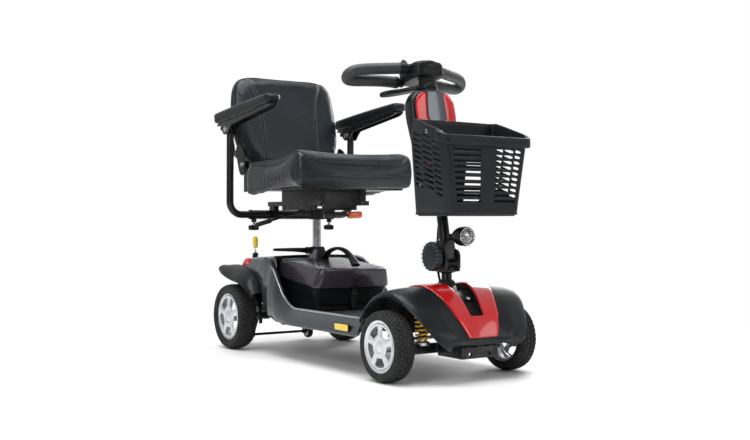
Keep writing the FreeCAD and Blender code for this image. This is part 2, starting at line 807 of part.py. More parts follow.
def handlebar_loop():
    keep("handlebar_loop", shape_node("loop", loop_shape()), TILLER)


def console_case():
    half = S.console_half_width
    case = prism("XY_Plane", ((-half, -20), (-30, -32), (30, -32), (half, -20), (half, 52), (30, 90), (-30, 90),
                              (-half, 52)), S.console_low, S.console_high)
    tools = [shape_node("loop_room", loop_shape()), bar("Z", S.tube_radius + 0.05, (0, 0, 500), 45)]
    tools.append(bar("Z", 7.2, (30, 62, 566), 20))
    tools.append(bar("Z", 4 + GAP, (0, 62, 560), 30))
    tools.append(bar("Z", 4 + GAP, (-30, 62, 560), 30))
    keep("console_case", cut(case, *tools), TILLER)


def tiller_cable():
    run = pipe(((10, 22, 141), (10, 22, 118), (10, 38, 76), (10, 38, 24), (10, 18.3, 24)), 3.5, 8)
    keep("tiller_cable", shape_node("cable", run), TILLER)


def console_controls():
    dial = fuse(bar("Z", 13, (0, 62, 577.2), 12), bar("Z", 4, (0, 62, 564), 16))
    keep("speed_dial", dial, TILLER)
    blade = block((-39, -21), (60.5, 63.5), (580, 604))
    keep("ignition_key", fuse(bar("Z", 7, (-30, 62, 577.2), 5), bar("Z", 4, (-30, 62, 564), 16), blade), TILLER)
    keep("horn_button", fuse(bar("Z", 7, (30, 62, 571), 9), bar("Z", 5.5, (30, 62, 579), 2.5)), TILLER)


def throttle_paddles():
    """Wig-wag on a ring around the tiller: one paddle under each grip."""
    ring = bar("Z", 27, (0, 0, 497), 11)
    arms = []
    for side in SIDES:
        outline = ((10, -8), (40, 18), (75, 46), (112, 66), (104, 92), (62, 78), (10, 24))
        arms.append(prism("XY_Plane", [(side * x, y) for x, y in outline], 498, 507))
    keep("throttle_paddles", cut(fuse(ring, *arms), bar("Z", S.tube_radius + GAP, (0, 0, 480), 50)), TILLER)


def tilt_knob():
    """Knurled hand wheel on the tilt pin."""
    y, z = S.steering_y, S.tilt_z
    wheel = bar("X", 39, (-78, y, z), 26)
    hub = bar("X", 14, (-54, y, z), 25.5)
    flutes = [bar("X", 3.5, (-80, -418 + 41 * math.sin(a), 344 + 41 * math.cos(a)), 30)
              for a in (math.pi * i / 9 for i in range(18))]
    keep("tilt_knob", cut(fuse(wheel, hub), bar("X", 6 + GAP, (-60, y, z), 40), *flutes))


def from_tiller(y, z):
    """Where a point of the tiller's own side view stands."""
    return (y * math.cos(LEAN) + z * math.sin(LEAN) - 418, z * math.cos(LEAN) - y * math.sin(LEAN) + 344)


LAMP_Y, LAMP_Z = from_tiller(-36, 51)


def headlight():
    shell = fuse(bar("Y", 34, (0, -528, 402), 34), taper("Y", 34, 20, (0, -494, 402), 32))
    ears = [block(span(side, 6.3, 11), (-470, LAMP_Y), (LAMP_Z - 8, LAMP_Z + 8)) for side in SIDES]
    eyes = [bar("X", 8, (side * 8.65 - 2.35, LAMP_Y, LAMP_Z), 4.7) for side in SIDES]
    socket = bar("Y", 28, (0, -530, 402), 26)
    bore = bar("X", 3 + GAP, (-20, LAMP_Y, LAMP_Z), 40)
    keep("headlight_shell", cut(fuse(shell, *ears, *eyes), socket, bore))
    keep("headlight_lens", bar("Y", 28, (0, -522, 402), 5))


# ---------------------------------------------------------------- basket

def tapered_box(low, high, z_low, z_high):
    """A box whose floor (x half width, front y, rear y) differs from its mouth."""
    wedge = doc.addObject("Part::Wedge", "tub")
    wedge.Xmin, wedge.Xmax = -low[0], low[0]
    wedge.X2min, wedge.X2max = -high[0], high[0]
    wedge.Zmin, wedge.Zmax = -low[2], -low[1]
    wedge.Z2min, wedge.Z2max = -high[2], -high[1]
    wedge.Ymin, wedge.Ymax = number(z_low), number(z_high)
    wedge.Placement.Rotation = Rotation(X_AXIS, 90)
    return wedge


def basket():
    """Slotted tub with a high back, hung by two hooks on the tiller's plate."""
    wall = 3.5
    low_y, high_y = basket_back(463), basket_back(675)
    outer = tapered_box((125, -594, low_y), (152, -602, high_y), S.basket_low, S.basket_rim)
    inner = tapered_box((122, -590, low_y - wall), (149, -598, high_y - wall), S.basket_low + wall, S.basket_rim + 1)
    rim_out = tapered_box((162, -611, high_y), (163, -612, high_y - 1), 650, S.basket_rim)
    rim_in = tapered_box((147, -597, high_y - wall), (149, -598, high_y - wall), 648, S.basket_rim + 1)
    slots = []
    for row in range(10):
        z = 486 + 16 * row
        for side in SIDES:
            slots.append(block(span(side, 24, 104 + 2 * row), (-620, -560), (z, z + 8)))
        for column in range(3):
            front = -590 + 48 * column
            rise = 3 * column
            slots.append(block((-180, 180), (front, front + 38), (z + rise, z + rise + 7)))
    back_y = basket_back(727)
    back = prism("YZ_Plane", ((high_y - 1, 660), (high_y - wall - 1, 660), (back_y - wall - 0.5, 727),
                              (back_y, 727)), -148, 148)
    flare = [prism("YZ_Plane", ((high_y, 652), (-590, 652), (-590, 682), (high_y - 4, 720)), *span(side, 147, 152))
             for side in SIDES]
    hooks = []
    for side in SIDES:
        start, end = basket_back(610), basket_back(672)
        post = ((start, 610), (start + 11, 610), (end + 11, 672), (end, 672))
        hooks.append(prism("YZ_Plane", post, *span(side, 26.5, 32)))
        lip = ((start + 7, 610), (start + 11, 610), (end + 11, 672), (end + 7, 672))
        hooks.append(prism("YZ_Plane", lip, *span(side, 17, 32)))
    walls = fuse(cut(outer, inner, *slots), cut(rim_out, rim_in))
    keep("basket", fuse(walls, back, *flare, *hooks))


# ---------------------------------------------------------------- seat

def seat_post():
    keep("seat_post", bar("Z", S.post_radius, (0, S.post_y, 160), S.post_top - 160))


def swivel_base():
    """Cup on the post with a top plate, the lower slide rails and a fork for each lever."""
    y = S.post_y
    cup = bar("Z", 26, (0, y, 450), 36)
    plate = block((-92, 92), (y - 75, y + 75), (482, 488))
    rails = [block(span(side, 70, 92), (200, 395), (482, 496.9)) for side in SIDES]
    forks = []
    for side in SIDES:
        forks.append(block(span(side, 20, 50), (y - 10, y + 10), (468, 484)))
        for low in (y - 10, y + 6):
            forks.append(block(span(side, 40, 68), (low, low + 4), (468, 483)))
        forks.append(bar("Y", 2.5, (side * 62, y - 10, 475), 20))
    keep("swivel_base", cut(fuse(cup, plate, *rails, *forks), bar("Z", S.post_radius + GAP, (0, y, 440), 28.2)))


def lever(label, side, points, grip_from, grip_radius):
    hub = bar("Y", 5.5, (side * 62, 307.3, 475), 11.4)
    rod = shape_node("rod", pipe(points, 4, 14))
    start, end = Vector(*points[-2]), Vector(*points[-1])
    first = start + (end - start) * grip_from
    grip = shape_node("grip", Part.makeCylinder(grip_radius, (end - first).Length, first, end - start))
    keep(label, cut(fuse(hub, rod, grip), bar("Y", 2.5 + GAP, (side * 62, 300, 475), 30)))


def seat_pan():
    """Upper slide rails, pan, arm receiver tube and the hinge plates for the back."""
    parts = []
    y, z = S.receiver_y, S.receiver_z
    for side in SIDES:
        parts.append(block(span(side, 66, 96), (130, 492), (497, 512)))
        parts.append(block(span(side, 70, 90), (140, 400), (510, 550)))
        parts.append(block(span(side, 70, 90), (458, 492), (458, 500)))
        parts.append(block(span(side, 190, 196), (380, 482), (546, 556)))
        parts.append(block(span(side, 190, 196), (446, 482), (546, 654)))
        parts.append(bar("X", 5, (193 if side > 0 else -206, S.back_pivot_y, S.back_pivot_z), 13))
        parts.append(bar("Z", 9, (side * 155, y, 440), 20))
    parts.append(block((-196, 196), (75, 425), (548, 556)))
    parts.append(bar("X", 16, (-S.receiver_half, y, z), S.receiver_half * 2))
    holes = [bar("X", S.arm_tube_radius + GAP, (-S.receiver_half - 2, y, z), S.receiver_half * 2 + 4)]
    holes += [bar("Z", 4 + GAP, (side * 155, y, 430), 30) for side in SIDES]
    keep("seat_pan", cut(fuse(*parts), *holes))


def seat_cushion():
    body = new_body("seat_cushion")
    width = S.seat_half_width
    sketch = polygon(sketch_on(body, "YZ_Plane"),
                     ((S.seat_front, 586), (S.seat_front + 14, 660), (S.seat_front + 60, 664), (250, S.seat_high - 8),
                      (S.seat_rear - 30, S.seat_high - 10), (S.seat_rear, 628), (S.seat_rear, S.seat_low + 14),
                      (S.seat_rear - 14, S.seat_low), (S.seat_front + 26, S.seat_low)))
    block_ = pad(body, sketch, width * 2, both_ways=True)
    fillet(body, block_, 10, lambda e: along(X_AXIS, e))
    keep("seat_cushion", body)


BACK = Placement(Vector(0, 465, 640), Rotation(X_AXIS, -number(S.back_recline)))


def back_cushion():
    body = new_body("back_cushion")
    w = S.back_half_width
    sketch = polygon(sketch_on(body, "XZ_Plane", -S.back_rear),
                     ((-150, -6), (-w + 6, 72), (-w, 120), (-w, 280), (-196, 322), (-160, 342), (160, 342), (196, 322),
                      (w, 280), (w, 120), (w - 6, 72), (150, -6)))
    slab = pad(body, sketch, S.back_rear - S.back_front)
    fillet(body, slab, 16, lambda e: along(Y_AXIS, e))
    keep("back_cushion", body, BACK)


def back_frame():
    """Rear shell of the back with the two hinge arms."""
    shell = ((-205, 40), (-205, 270), (-150, 318), (150, 318), (205, 270), (205, 40))
    parts = [prism("XZ_Plane", shell, S.back_rear, S.back_rear + 6)]
    for side in SIDES:
        parts.append(block(span(side, 198, 203), (-12, 12), (-12, 40)))
        arm = ((-12, 10), (12, 10), (S.back_rear + 6, 60), (S.back_rear + 6, 110), (S.back_rear, 110))
        parts.append(prism("YZ_Plane", arm, *span(side, 216.5, 219.6)))
        parts.append(block(span(side, 198, 219.6), (-10, 10), (12, 22)))
        parts.append(block(span(side, 198, 219.6), (S.back_rear, S.back_rear + 6), (62, 108)))
    keep("back_frame", cut(fuse(*parts), bar("X", 5 + GAP, (-230, 0, 0), 460)), BACK)


def armrest_tube(side, label):
    r = number(S.arm_tube_radius)
    path = ((side * 34, 485, 467), (side * 248, 485, 467), (side * 248, 483, 776))
    pin = shape_node("pin", Part.makeCylinder(6, 38, Vector(side * 248 - 19, 483, 762), X_AXIS))
    keep(label, fuse(shape_node("tube", pipe(path, r, 45)), pin))


def armrest_pad(side, label):
    """Padded rest with a steel bracket that straddles the top of its tube."""
    x = S.arm_x * side
    outline = ((156, 836), (166, 820), (540, 786), (562, 790), (566, 806), (556, 818), (500, 832), (172, 858),
               (158, 852))
    rest = prism("YZ_Plane", outline, x - S.pad_half_width, x + S.pad_half_width)
    soft = rounded(rest, 8, lambda e: along(X_AXIS, e) is False)
    lugs = []
    for face in SIDES:
        low = x + face * 13.5
        limits = (low, low + 4.5) if face > 0 else (low - 4.5, low)
        lugs.append(block(limits, (468, 500), (750, 796)))
    holes = bar("X", 6 + GAP, (x - 25, 483, S.arm_pivot_z), 50)
    keep(label, cut(fuse(soft, *lugs), holes))


def star_knob(side, label):
    x, y = side * 155, S.receiver_y
    head = bar("Z", 15, (x, y, 412), 18)
    lobes = [bar("Z", 6, (side * 155 + 14 * math.cos(a), 485 + 14 * math.sin(a), 412), 18)
             for a in (2 * math.pi * i / 5 for i in range(5))]
    keep(label, fuse(head, *lobes, bar("Z", 4, (x, y, 429), 24)))


main_frame()
body_shell()
foot_mat()
front_fender()
front_cowl()
rear_fenders()
reflectors()
transaxle()
drive_motor()
controller()
battery_tub()
battery_lid()
battery_handle()
batteries()
charge_port()
freewheel_lever()
frame_release_lever()
anti_tip_wheels()
front_axle_beam()
front_springs()
tie_rods()
wheels()
steering_stem()
tiller_tube()
tiller_cover()
tiller_trim()
handlebar_loop()
console_case()
tiller_cable()
console_controls()
throttle_paddles()
tilt_knob()
headlight()
basket()
seat_post()
swivel_base()
lever("swivel_lever", 1, ((66, 313, 475), (92, 313, 467), (180, 313, 465)), 0.42, 8)
lever("slide_lever", -1, ((-66, 313, 475), (-108, 313, 465), (-240, 313, 430)), 0.5, 8)
seat_pan()
seat_cushion()
back_cushion()
back_frame()
for hand, which in ((-1, "right"), (1, "left")):
    knuckle(hand, f"knuckle_{which}")
    armrest_tube(hand, f"armrest_tube_{which}")
    armrest_pad(hand, f"armrest_pad_{which}")
    star_knob(hand, f"star_knob_{which}")


# ---------------------------------------------------------------- check and write

doc.recompute()
faults = [o.Name for o in doc.Objects if any(word in o.State for word in ("Invalid", "Error"))]
if faults:
    raise RuntimeError(f"objects that failed to compute: {faults}")
os.makedirs("parts", exist_ok=True)
for label, piece in nodes.items():
    shape = piece.Shape
    if shape.isNull() or not shape.isValid():
        raise RuntimeError(f"{label} has no valid shape")
    shape.exportStep(f"parts/{label}.step")
box = FreeCAD.BoundBox()
for piece in nodes.values():
    box.add(piece.Shape.BoundBox)
print(len(nodes), "pieces", box)
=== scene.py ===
import bmesh
import bpy
import math
from mathutils import Matrix, Vector, noise
from mathutils.bvhtree import BVHTree
from mathutils.kdtree import KDTree


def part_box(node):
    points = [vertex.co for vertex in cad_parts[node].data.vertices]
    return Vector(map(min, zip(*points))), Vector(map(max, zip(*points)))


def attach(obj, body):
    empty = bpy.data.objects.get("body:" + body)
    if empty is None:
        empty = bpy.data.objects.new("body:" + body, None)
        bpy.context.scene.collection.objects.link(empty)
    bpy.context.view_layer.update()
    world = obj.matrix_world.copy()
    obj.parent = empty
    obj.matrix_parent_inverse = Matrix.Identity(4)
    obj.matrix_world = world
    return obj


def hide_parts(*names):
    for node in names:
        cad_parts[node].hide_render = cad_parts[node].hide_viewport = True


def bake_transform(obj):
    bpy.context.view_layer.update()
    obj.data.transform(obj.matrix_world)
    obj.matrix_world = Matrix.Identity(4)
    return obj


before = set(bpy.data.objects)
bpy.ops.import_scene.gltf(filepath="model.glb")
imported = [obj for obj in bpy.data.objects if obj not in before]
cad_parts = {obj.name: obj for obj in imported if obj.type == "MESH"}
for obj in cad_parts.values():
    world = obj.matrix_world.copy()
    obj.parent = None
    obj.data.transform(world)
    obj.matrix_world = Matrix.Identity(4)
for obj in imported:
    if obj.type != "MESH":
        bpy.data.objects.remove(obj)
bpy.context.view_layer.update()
MM = 0.001
SIDES = (-1, 1)


# ---------------------------------------------------------------- mesh helpers (millimetres in, metres out)

def make(name, verts, faces, material, body, replaces=(),
         sharp=35, level=0, solid=0.0, offset=-1.0, bevel=0.0):
    """A mesh object from points in millimetres, riding on a body, or on none where it is to be blended."""
    mesh = bpy.data.meshes.new(name)
    mesh.from_pydata([Vector(v) * MM for v in verts], [], faces)
    mesh.validate()
    obj = bpy.data.objects.new(name, mesh)
    bpy.context.scene.collection.objects.link(obj)
    if solid:
        shell = obj.modifiers.new("thickness", "SOLIDIFY")
        shell.thickness, shell.offset = solid * MM, offset
    if bevel:
        soften(obj, bevel)
    if level:
        sub = obj.modifiers.new("smooth", "SUBSURF")
        sub.levels = sub.render_levels = level
    finish_mesh(obj, sharp)
    obj.data.materials.clear()
    obj.data.materials.append(material)
    if body:
        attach(obj, body)
    if replaces:
        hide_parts(*replaces)
    return obj


def facing(data, centre):
    """Turns an open sheet's faces so that they look away from a centre, in millimetres."""
    verts, faces = data
    total = 0.0
    for face in faces[::max(1, len(faces) // 60)]:
        a, b, c = (Vector(verts[face[k]]) for k in (0, 1, 2))
        total += (b - a).cross(c - a).dot((a + b + c) / 3 - Vector(centre))
    return (verts, faces) if total > 0 else (verts, [tuple(reversed(face)) for face in faces])


def soften(obj, width, angle=35, segments=2):
    edge = obj.modifiers.new("edges", "BEVEL")
    edge.width, edge.segments = width * MM, segments
    edge.limit_method, edge.angle_limit = "ANGLE", math.radians(angle)
    edge.harden_normals = False


def finish_mesh(obj, sharp):
    """Applies the modifiers, points the faces outward and smooths shading up to an angle."""
    apply_all(obj)
    work = bmesh.new()
    work.from_mesh(obj.data)
    bmesh.ops.remove_doubles(work, verts=work.verts, dist=1e-6)
    bmesh.ops.recalc_face_normals(work, faces=work.faces)
    limit = math.radians(sharp)
    for face in work.faces:
        face.smooth = True
    for edge in work.edges:
        edge.smooth = len(edge.link_faces) == 2 and edge.calc_face_angle(0) < limit
    work.to_mesh(obj.data)
    work.free()


def apply_all(obj):
    if not obj.modifiers:
        return
    depsgraph = bpy.context.evaluated_depsgraph_get()
    done = bpy.data.meshes.new_from_object(obj.evaluated_get(depsgraph))
    obj.modifiers.clear()
    obj.data = done


def merged(*lists):
    """Several (verts, faces) pairs as one."""
    verts, faces = [], []
    for v, f in lists:
        start = len(verts)
        verts.extend(v)
        faces.extend([tuple(i + start for i in face) for face in f])
    return verts, faces


def grid(rows, around=False, closed=False, skip=None, cap=False):
    """Quads between rows of points: around joins the last row to the first, closed each row's end to its
    start."""
    count, width = len(rows), len(rows[0])
    verts = [p for row in rows for p in row]
    faces = []
    for i in range(count if around else count - 1):
        for j in range(width if closed else width - 1):
            if skip and skip(i, j):
                continue
            k, m = (i + 1) % count, (j + 1) % width
            faces.append((i * width + j, i * width + m, k * width + m, k * width + j))
    if cap:
        faces.append(tuple(range(width)))
        faces.append(tuple(range((count - 1) * width, count * width)))
    return verts, faces


def spline(points, count):
    """A smooth line through the points, evenly sampled in parameter."""
    pts = [Vector(p) for p in points]
    pts = [pts[0] * 2 - pts[1]] + pts + [pts[-1] * 2 - pts[-2]]
    out = []
    spans = len(pts) - 3
    for n in range(count):
        at = spans * n / (count - 1)
        i = min(int(at), spans - 1)
        t = at - i
        a, b, c, d = pts[i:i + 4]
        square, cube = 2 * a - 5 * b + 4 * c - d, 3 * b - a - 3 * c + d
        out.append(0.5 * (2 * b + (c - a) * t + square * t * t + cube * t ** 3))
    return out


def lerp(a, b, t):
    return a + (b - a) * t


def frames_along(path, up=(0, 0, 1)):
    """A tangent, side and top vector at each point, without twist."""
    out = []
    side = None
    for i, p in enumerate(path):
        tangent = (path[min(i + 1, len(path) - 1)] - path[max(i - 1, 0)]).normalized()
        if side is None:
            side = tangent.cross(Vector(up))
            if side.length < 1e-3:
                side = tangent.cross(Vector((0, 1, 0)))
        side = (side - tangent * side.dot(tangent)).normalized()
        out.append((tangent, side, side.cross(tangent).normalized()))
    return out


def sweep(path, section, up=(0, 0, 1), cap=True, loop=False):
    """section(i, n) gives the outline (side, top) at each point of the path."""
    path = [Vector(p) for p in path]
    if loop:
        return sweep_loop(path, section, up)
    rows = []
    for i, (p, (tangent, side, top)) in enumerate(zip(path, frames_along(path, up))):
        rows.append([p + side * a + top * b for a, b in section(i / (len(path) - 1))])
    return grid(rows, closed=True, cap=cap)


def sweep_loop(path, section, up):
    rows = []
    n = len(path)
    for i, p in enumerate(path):
        tangent = (path[(i + 1) % n] - path[i - 1]).normalized()
        side = tangent.cross(Vector(up)).normalized()
        top = side.cross(tangent).normalized()
        rows.append([p + side * a + top * b for a, b in section(i / n)])
    return grid(rows, around=True, closed=True)


def ring(radius, count=16, squash=1.0):
    return [(radius * math.cos(2 * math.pi * k / count), radius * squash * math.sin(2 * math.pi * k / count))
            for k in range(count)]


def tube(path, radius, count=16, squash=1.0, up=(0, 0, 1), ends=True):
    """A round bar whose ends are slightly rounded over."""
    path = [Vector(p) for p in path]
    length = sum((b - a).length for a, b in zip(path, path[1:]))
    edge = min(0.25, 0.12 * radius / max(length, 1e-6))
    if ends:
        first, last = path[0], path[-1]
        path = [first, first.lerp(path[1], 0.02)] + path[1:-1] + [last.lerp(path[-2], 0.02), last]

    def section(t):
        size = radius * (0.86 if ends and (t == 0 or t == 1) else 1)
        return ring(size, count, squash)
    return sweep(path, section, up)


def revolve(profile, centre, axis="X", count=48, start=0.0, turn=2 * math.pi):
    """profile is (along, radius) pairs turned about an axis through centre."""
    rows = []
    full = abs(turn - 2 * math.pi) < 1e-6
    steps = count if full else count + 1
    for k in range(steps):
        a = start + turn * k / count
        c, s = math.cos(a), math.sin(a)
        row = []
        for along, r in profile:
            local = {"X": (along, r * c, r * s), "Y": (r * c, along, r * s), "Z": (r * c, r * s, along)}[axis]
            row.append(Vector(centre) + Vector(local))
        rows.append(row)
    return grid(rows, around=full)


def slab(outline, axis, low, high):
    """A flat plate: outline in the plane across the axis, closed at both faces."""
    def put(u, v, w):
        return {"X": (w, u, v), "Y": (u, w, v), "Z": (u, v, w)}[axis]
    n = len(outline)
    verts = [put(u, v, low) for u, v in outline] + [put(u, v, high) for u, v in outline]
    faces = [tuple(range(n)), tuple(range(n, 2 * n))]
    faces += [(i, (i + 1) % n, n + (i + 1) % n, n + i) for i in range(n)]
    return verts, faces


def cuboid(x, y, z):
    return slab([(x[0], y[0]), (x[1], y[0]), (x[1], y[1]), (x[0], y[1])], "Z", *z)


def rounded_outline(half_x, half_y, radius, steps=6, cx=0.0, cy=0.0):
    """A rounded rectangle, anticlockwise."""
    out = []
    for sx, sy, start in ((1, 1, 0), (-1, 1, 90), (-1, -1, 180), (1, -1, 270)):
        for k in range(steps + 1):
            a = math.radians(start + 90 * k / steps)
            out.append((cx + sx * (half_x - radius) + radius * math.cos(a),
                        cy + sy * (half_y - radius) + radius * math.sin(a)))
    return out


def screw_head(centre, axis, radius=6, height=4):
    """Pan-head screw with a hexagonal socket."""
    profile = [(0, radius), (height * 0.6, radius), (height, radius * 0.78), (height, radius * 0.45),
               (height * 0.3, radius * 0.42), (height * 0.3, 0.01)]
    return revolve(profile, centre, axis, 18)


# ---------------------------------------------------------------- materials

class Nodes:
    """A short way to wire a material's nodes."""

    def __init__(self, name):
        self.material = bpy.data.materials.new(name)
        self.material.use_nodes = True
        self.tree = self.material.node_tree
        self.shader = self.tree.nodes["Principled BSDF"]
        self.place = self.node("ShaderNodeTexCoord").outputs["Object"]

    def node(self, kind, **settings):
        made = self.tree.nodes.new(kind)
        for key, value in settings.items():
            setattr(made, key, value)
        return made

    def link(self, source, target):
        self.tree.links.new(source, target)

    def noise(self, scale, detail=3.0, rough=0.5, stretch=None):
        texture = self.node("ShaderNodeTexNoise")
        texture.inputs["Scale"].default_value = scale
        texture.inputs["Detail"].default_value = detail
        texture.inputs["Roughness"].default_value = rough
        self.link(self.scaled(stretch), texture.inputs["Vector"])
        return texture.outputs["Fac"]

    def cells(self, scale, feature="F1", output="Distance"):
        texture = self.node("ShaderNodeTexVoronoi", feature=feature)
        texture.inputs["Scale"].default_value = scale
        self.link(self.place, texture.inputs["Vector"])
        return texture.outputs[output]

    def scaled(self, stretch):
        if stretch is None:
            return self.place
        mapping = self.node("ShaderNodeMapping")
        mapping.inputs["Scale"].default_value = stretch
        self.link(self.place, mapping.inputs["Vector"])
        return mapping.outputs["Vector"]

    def remap(self, value, low, high, to_low, to_high):
        box = self.node("ShaderNodeMapRange")
        for key, number in zip(("From Min", "From Max", "To Min", "To Max"), (low, high, to_low, to_high)):
            box.inputs[key].default_value = number
        self.link(value, box.inputs["Value"])
        return box.outputs["Result"]

    def maths(self, operation, a, b):
        box = self.node("ShaderNodeMath", operation=operation)
        for socket, value in zip(box.inputs, (a, b)):
            if isinstance(value, (int, float)):
                socket.default_value = value
            else:
                self.link(value, socket)
        return box.outputs["Value"]

    def mix(self, factor, a, b):
        box = self.node("ShaderNodeMix", data_type="RGBA")
        for socket, value in ((box.inputs["Factor"], factor), (box.inputs[6], a), (box.inputs[7], b)):
            if isinstance(value, (int, float, tuple)):
                socket.default_value = (*value, 1) if isinstance(value, tuple) else value
            else:
                self.link(value, socket)
        return box.outputs[2]

    def bump(self, height, strength, distance, below=None):
        box = self.node("ShaderNodeBump")
        box.inputs["Strength"].default_value = strength
        box.inputs["Distance"].default_value = distance
        self.link(height, box.inputs["Height"])
        if below:
            self.link(below, box.inputs["Normal"])
        return box.outputs["Normal"]

    def wear_and_highlight_edges(self, low=0.52, high=0.6):
        """About 1 along convex edges, broken up by noise; it marks edge wear, and a painted highlight on
        vinyl.
        """
        point = self.node("ShaderNodeNewGeometry").outputs["Pointiness"]
        edges = self.remap(point, low, high, 0.0, 1.0)
        return self.maths("MULTIPLY", edges, self.remap(self.noise(60, 5), 0.45, 0.65, 0.0, 1.0))

    def set(self, **values):
        for key, value in values.items():
            socket = self.shader.inputs[key.replace("_", " ")]
            if isinstance(value, (int, float)):
                socket.default_value = value
            elif isinstance(value, tuple):
                socket.default_value = (*value, 1) if len(value) == 3 else value
            else:
                self.link(value, socket)
        return self


def shade(colour, factor):
    return tuple(min(1.0, c * factor) for c in colour)


def plastic(name, colour, rough=0.42, grain=900, depth=0.12, coat=0.0, metal=0.0, wear=0.35, tone=0.85):
    """Moulded plastic: fine spark-eroded grain, faint colour drift, and edges rubbed paler."""
    m = Nodes(name)
    drift = m.mix(m.remap(m.noise(7, 3), 0.35, 0.65, 0, 1), shade(colour, tone), shade(colour, 1.12))
    worn = m.maths("MULTIPLY", m.wear_and_highlight_edges(), wear)
    pale = tuple(c * 1.5 + 0.018 for c in colour)
    m.set(Base_Color=m.mix(worn, drift, pale))
    m.set(Roughness=m.remap(m.noise(22, 4), 0.3, 0.7, rough - 0.07, rough + 0.08))
    fine = m.bump(m.cells(grain), depth, 0.0002)
    m.set(Normal=m.bump(m.noise(14, 2), 0.05, 0.002, fine),
          Metallic=metal, Coat_Weight=coat, Coat_Roughness=0.12,
          Specular_IOR_Level=0.2)
    return m.material


def paint(name, colour, rough=0.3, metal=0.75, coat=0.6, flake=2600):
    """Metallic lacquer: flakes of varied tilt and brightness under a clear coat with slight orange peel."""
    m = Nodes(name)
    spark = m.cells(flake, output="Color")
    value = m.node("ShaderNodeSeparateColor")
    m.link(spark, value.inputs["Color"])
    glint = m.remap(value.outputs["Red"], 0.0, 1.0, 0.0, 1.0)
    base = m.mix(glint, shade(colour, 0.78), shade(colour, 1.3))
    dust = m.remap(m.noise(5, 5), 0.5, 0.75, 0.0, 0.22)
    m.set(Base_Color=m.mix(dust, base, tuple(c * 0.85 + 0.012 for c in colour)), Metallic=metal)
    m.set(Roughness=m.remap(value.outputs["Green"], 0, 1, rough - 0.06, rough + 0.08))
    peel = m.bump(m.noise(260, 2), 0.06, 0.0004)
    m.set(Normal=m.bump(glint, 0.04, 0.0001, peel), Coat_Weight=coat, Coat_Roughness=0.08)
    return m.material


def gloss(name, colour, rough=0.16):
    """Deep gloss paint with faint polish swirls and dust."""
    m = Nodes(name)
    drift = m.mix(m.remap(m.noise(9, 2), 0.35, 0.65, 0, 1), shade(colour, 0.88), shade(colour, 1.08))
    m.set(Base_Color=drift, Roughness=m.remap(m.noise(30, 6), 0.35, 0.7, rough, rough + 0.12))
    m.set(Normal=m.bump(m.noise(200, 2), 0.035, 0.0005), Coat_Weight=0.9, Coat_Roughness=0.04)
    return m.material


def vinyl(name, colour, rough=0.42):
    """Upholstery vinyl: pebbled leather grain of two sizes, soft sheen, slow creases and a painted edge
    highlight.
    """
    m = Nodes(name)
    pebble = m.cells(620, "SMOOTH_F1")
    fine = m.cells(1500, "F1")
    crease = m.noise(26, 4, 0.6, (1, 1, 0.5))
    drift = m.mix(m.remap(m.noise(6, 4), 0.35, 0.68, 0, 1), shade(colour, 0.8), shade(colour, 1.2))
    # painted highlight: the colour is lightened along convex edges, where the vinyl catches the light
    painted_edge_highlight = m.maths("MULTIPLY", m.wear_and_highlight_edges(0.51, 0.56), 0.25)
    m.set(Base_Color=m.mix(painted_edge_highlight, drift, shade(colour, 2.0)))
    m.set(Roughness=m.remap(m.noise(15, 4), 0.3, 0.7, rough - 0.08, rough + 0.1))
    under = m.bump(crease, 0.16, 0.003)
    small = m.bump(fine, 0.1, 0.0002, under)
    m.set(Normal=m.bump(pebble, 0.22, 0.0004, small), Sheen_Weight=0.04, Sheen_Roughness=0.4, Coat_Weight=0.1,
          Coat_Roughness=0.3, Specular_IOR_Level=0.34)
    return m.material


def rubber(name, colour, dust=0.25):
    """Tyre rubber: pitted, matt, with pale dust that gathers away from the edges."""
    m = Nodes(name)
    grime = m.remap(m.noise(28, 6, 0.65), 0.45, 0.75, 0.0, dust)
    m.set(Base_Color=m.mix(grime, colour, (0.03, 0.029, 0.028)))
    m.set(Roughness=m.remap(m.noise(40, 4), 0.3, 0.7, 0.62, 0.85))
    m.set(Normal=m.bump(m.noise(900, 3), 0.25, 0.0003))
    return m.material


def foam(name, colour):
    """Closed-cell grip foam: tiny open pores painted dark as shade, and a skin gone slightly shiny in the
    middle.
    """
    m = Nodes(name)
    pores = m.remap(m.cells(1400), 0.1, 0.5, 0.0, 1.0)
    # painted shade: the colour is darker in the pores, where shade would fall
    m.set(Base_Color=m.mix(pores, shade(colour, 0.6), shade(colour, 1.25)))
    m.set(Roughness=m.remap(m.noise(18, 3), 0.3, 0.7, 0.42, 0.6))
    m.set(Normal=m.bump(pores, 0.3, 0.0003), Sheen_Weight=0.15)
    return m.material


def powder(name, colour, rough=0.34):
    """Powder-coated steel: fine orange peel with chips on the edges."""
    m = Nodes(name)
    chips = m.maths("MULTIPLY", m.wear_and_highlight_edges(0.55, 0.64), 0.6)
    m.set(Base_Color=m.mix(chips, colour, (0.08, 0.08, 0.085)), Metallic=m.remap(chips, 0, 1, 0.1, 0.5))
    m.set(Roughness=m.remap(m.noise(45, 4), 0.3, 0.7, rough - 0.06, rough + 0.1))
    m.set(Normal=m.bump(m.noise(420, 3), 0.14, 0.0004), Coat_Weight=0.12, Coat_Roughness=0.2,
          Specular_IOR_Level=0.25)
    return m.material


def metal(name, colour, rough=0.12, brushed=0.0):
    """Bare or plated metal; brushed sets the strength of fine lines along its length."""
    m = Nodes(name)
    smear = m.noise(34, 5)
    m.set(Base_Color=m.mix(m.remap(smear, 0.4, 0.7, 0, 1), shade(colour, 0.9), colour), Metallic=1.0)
    m.set(Roughness=m.remap(smear, 0.3, 0.7, rough, rough + 0.1))
    lines = m.noise(300, 2, 0.5, (1, 1, 0.02))
    m.set(Normal=m.bump(lines, 0.02 + brushed, 0.0003))
    return m.material


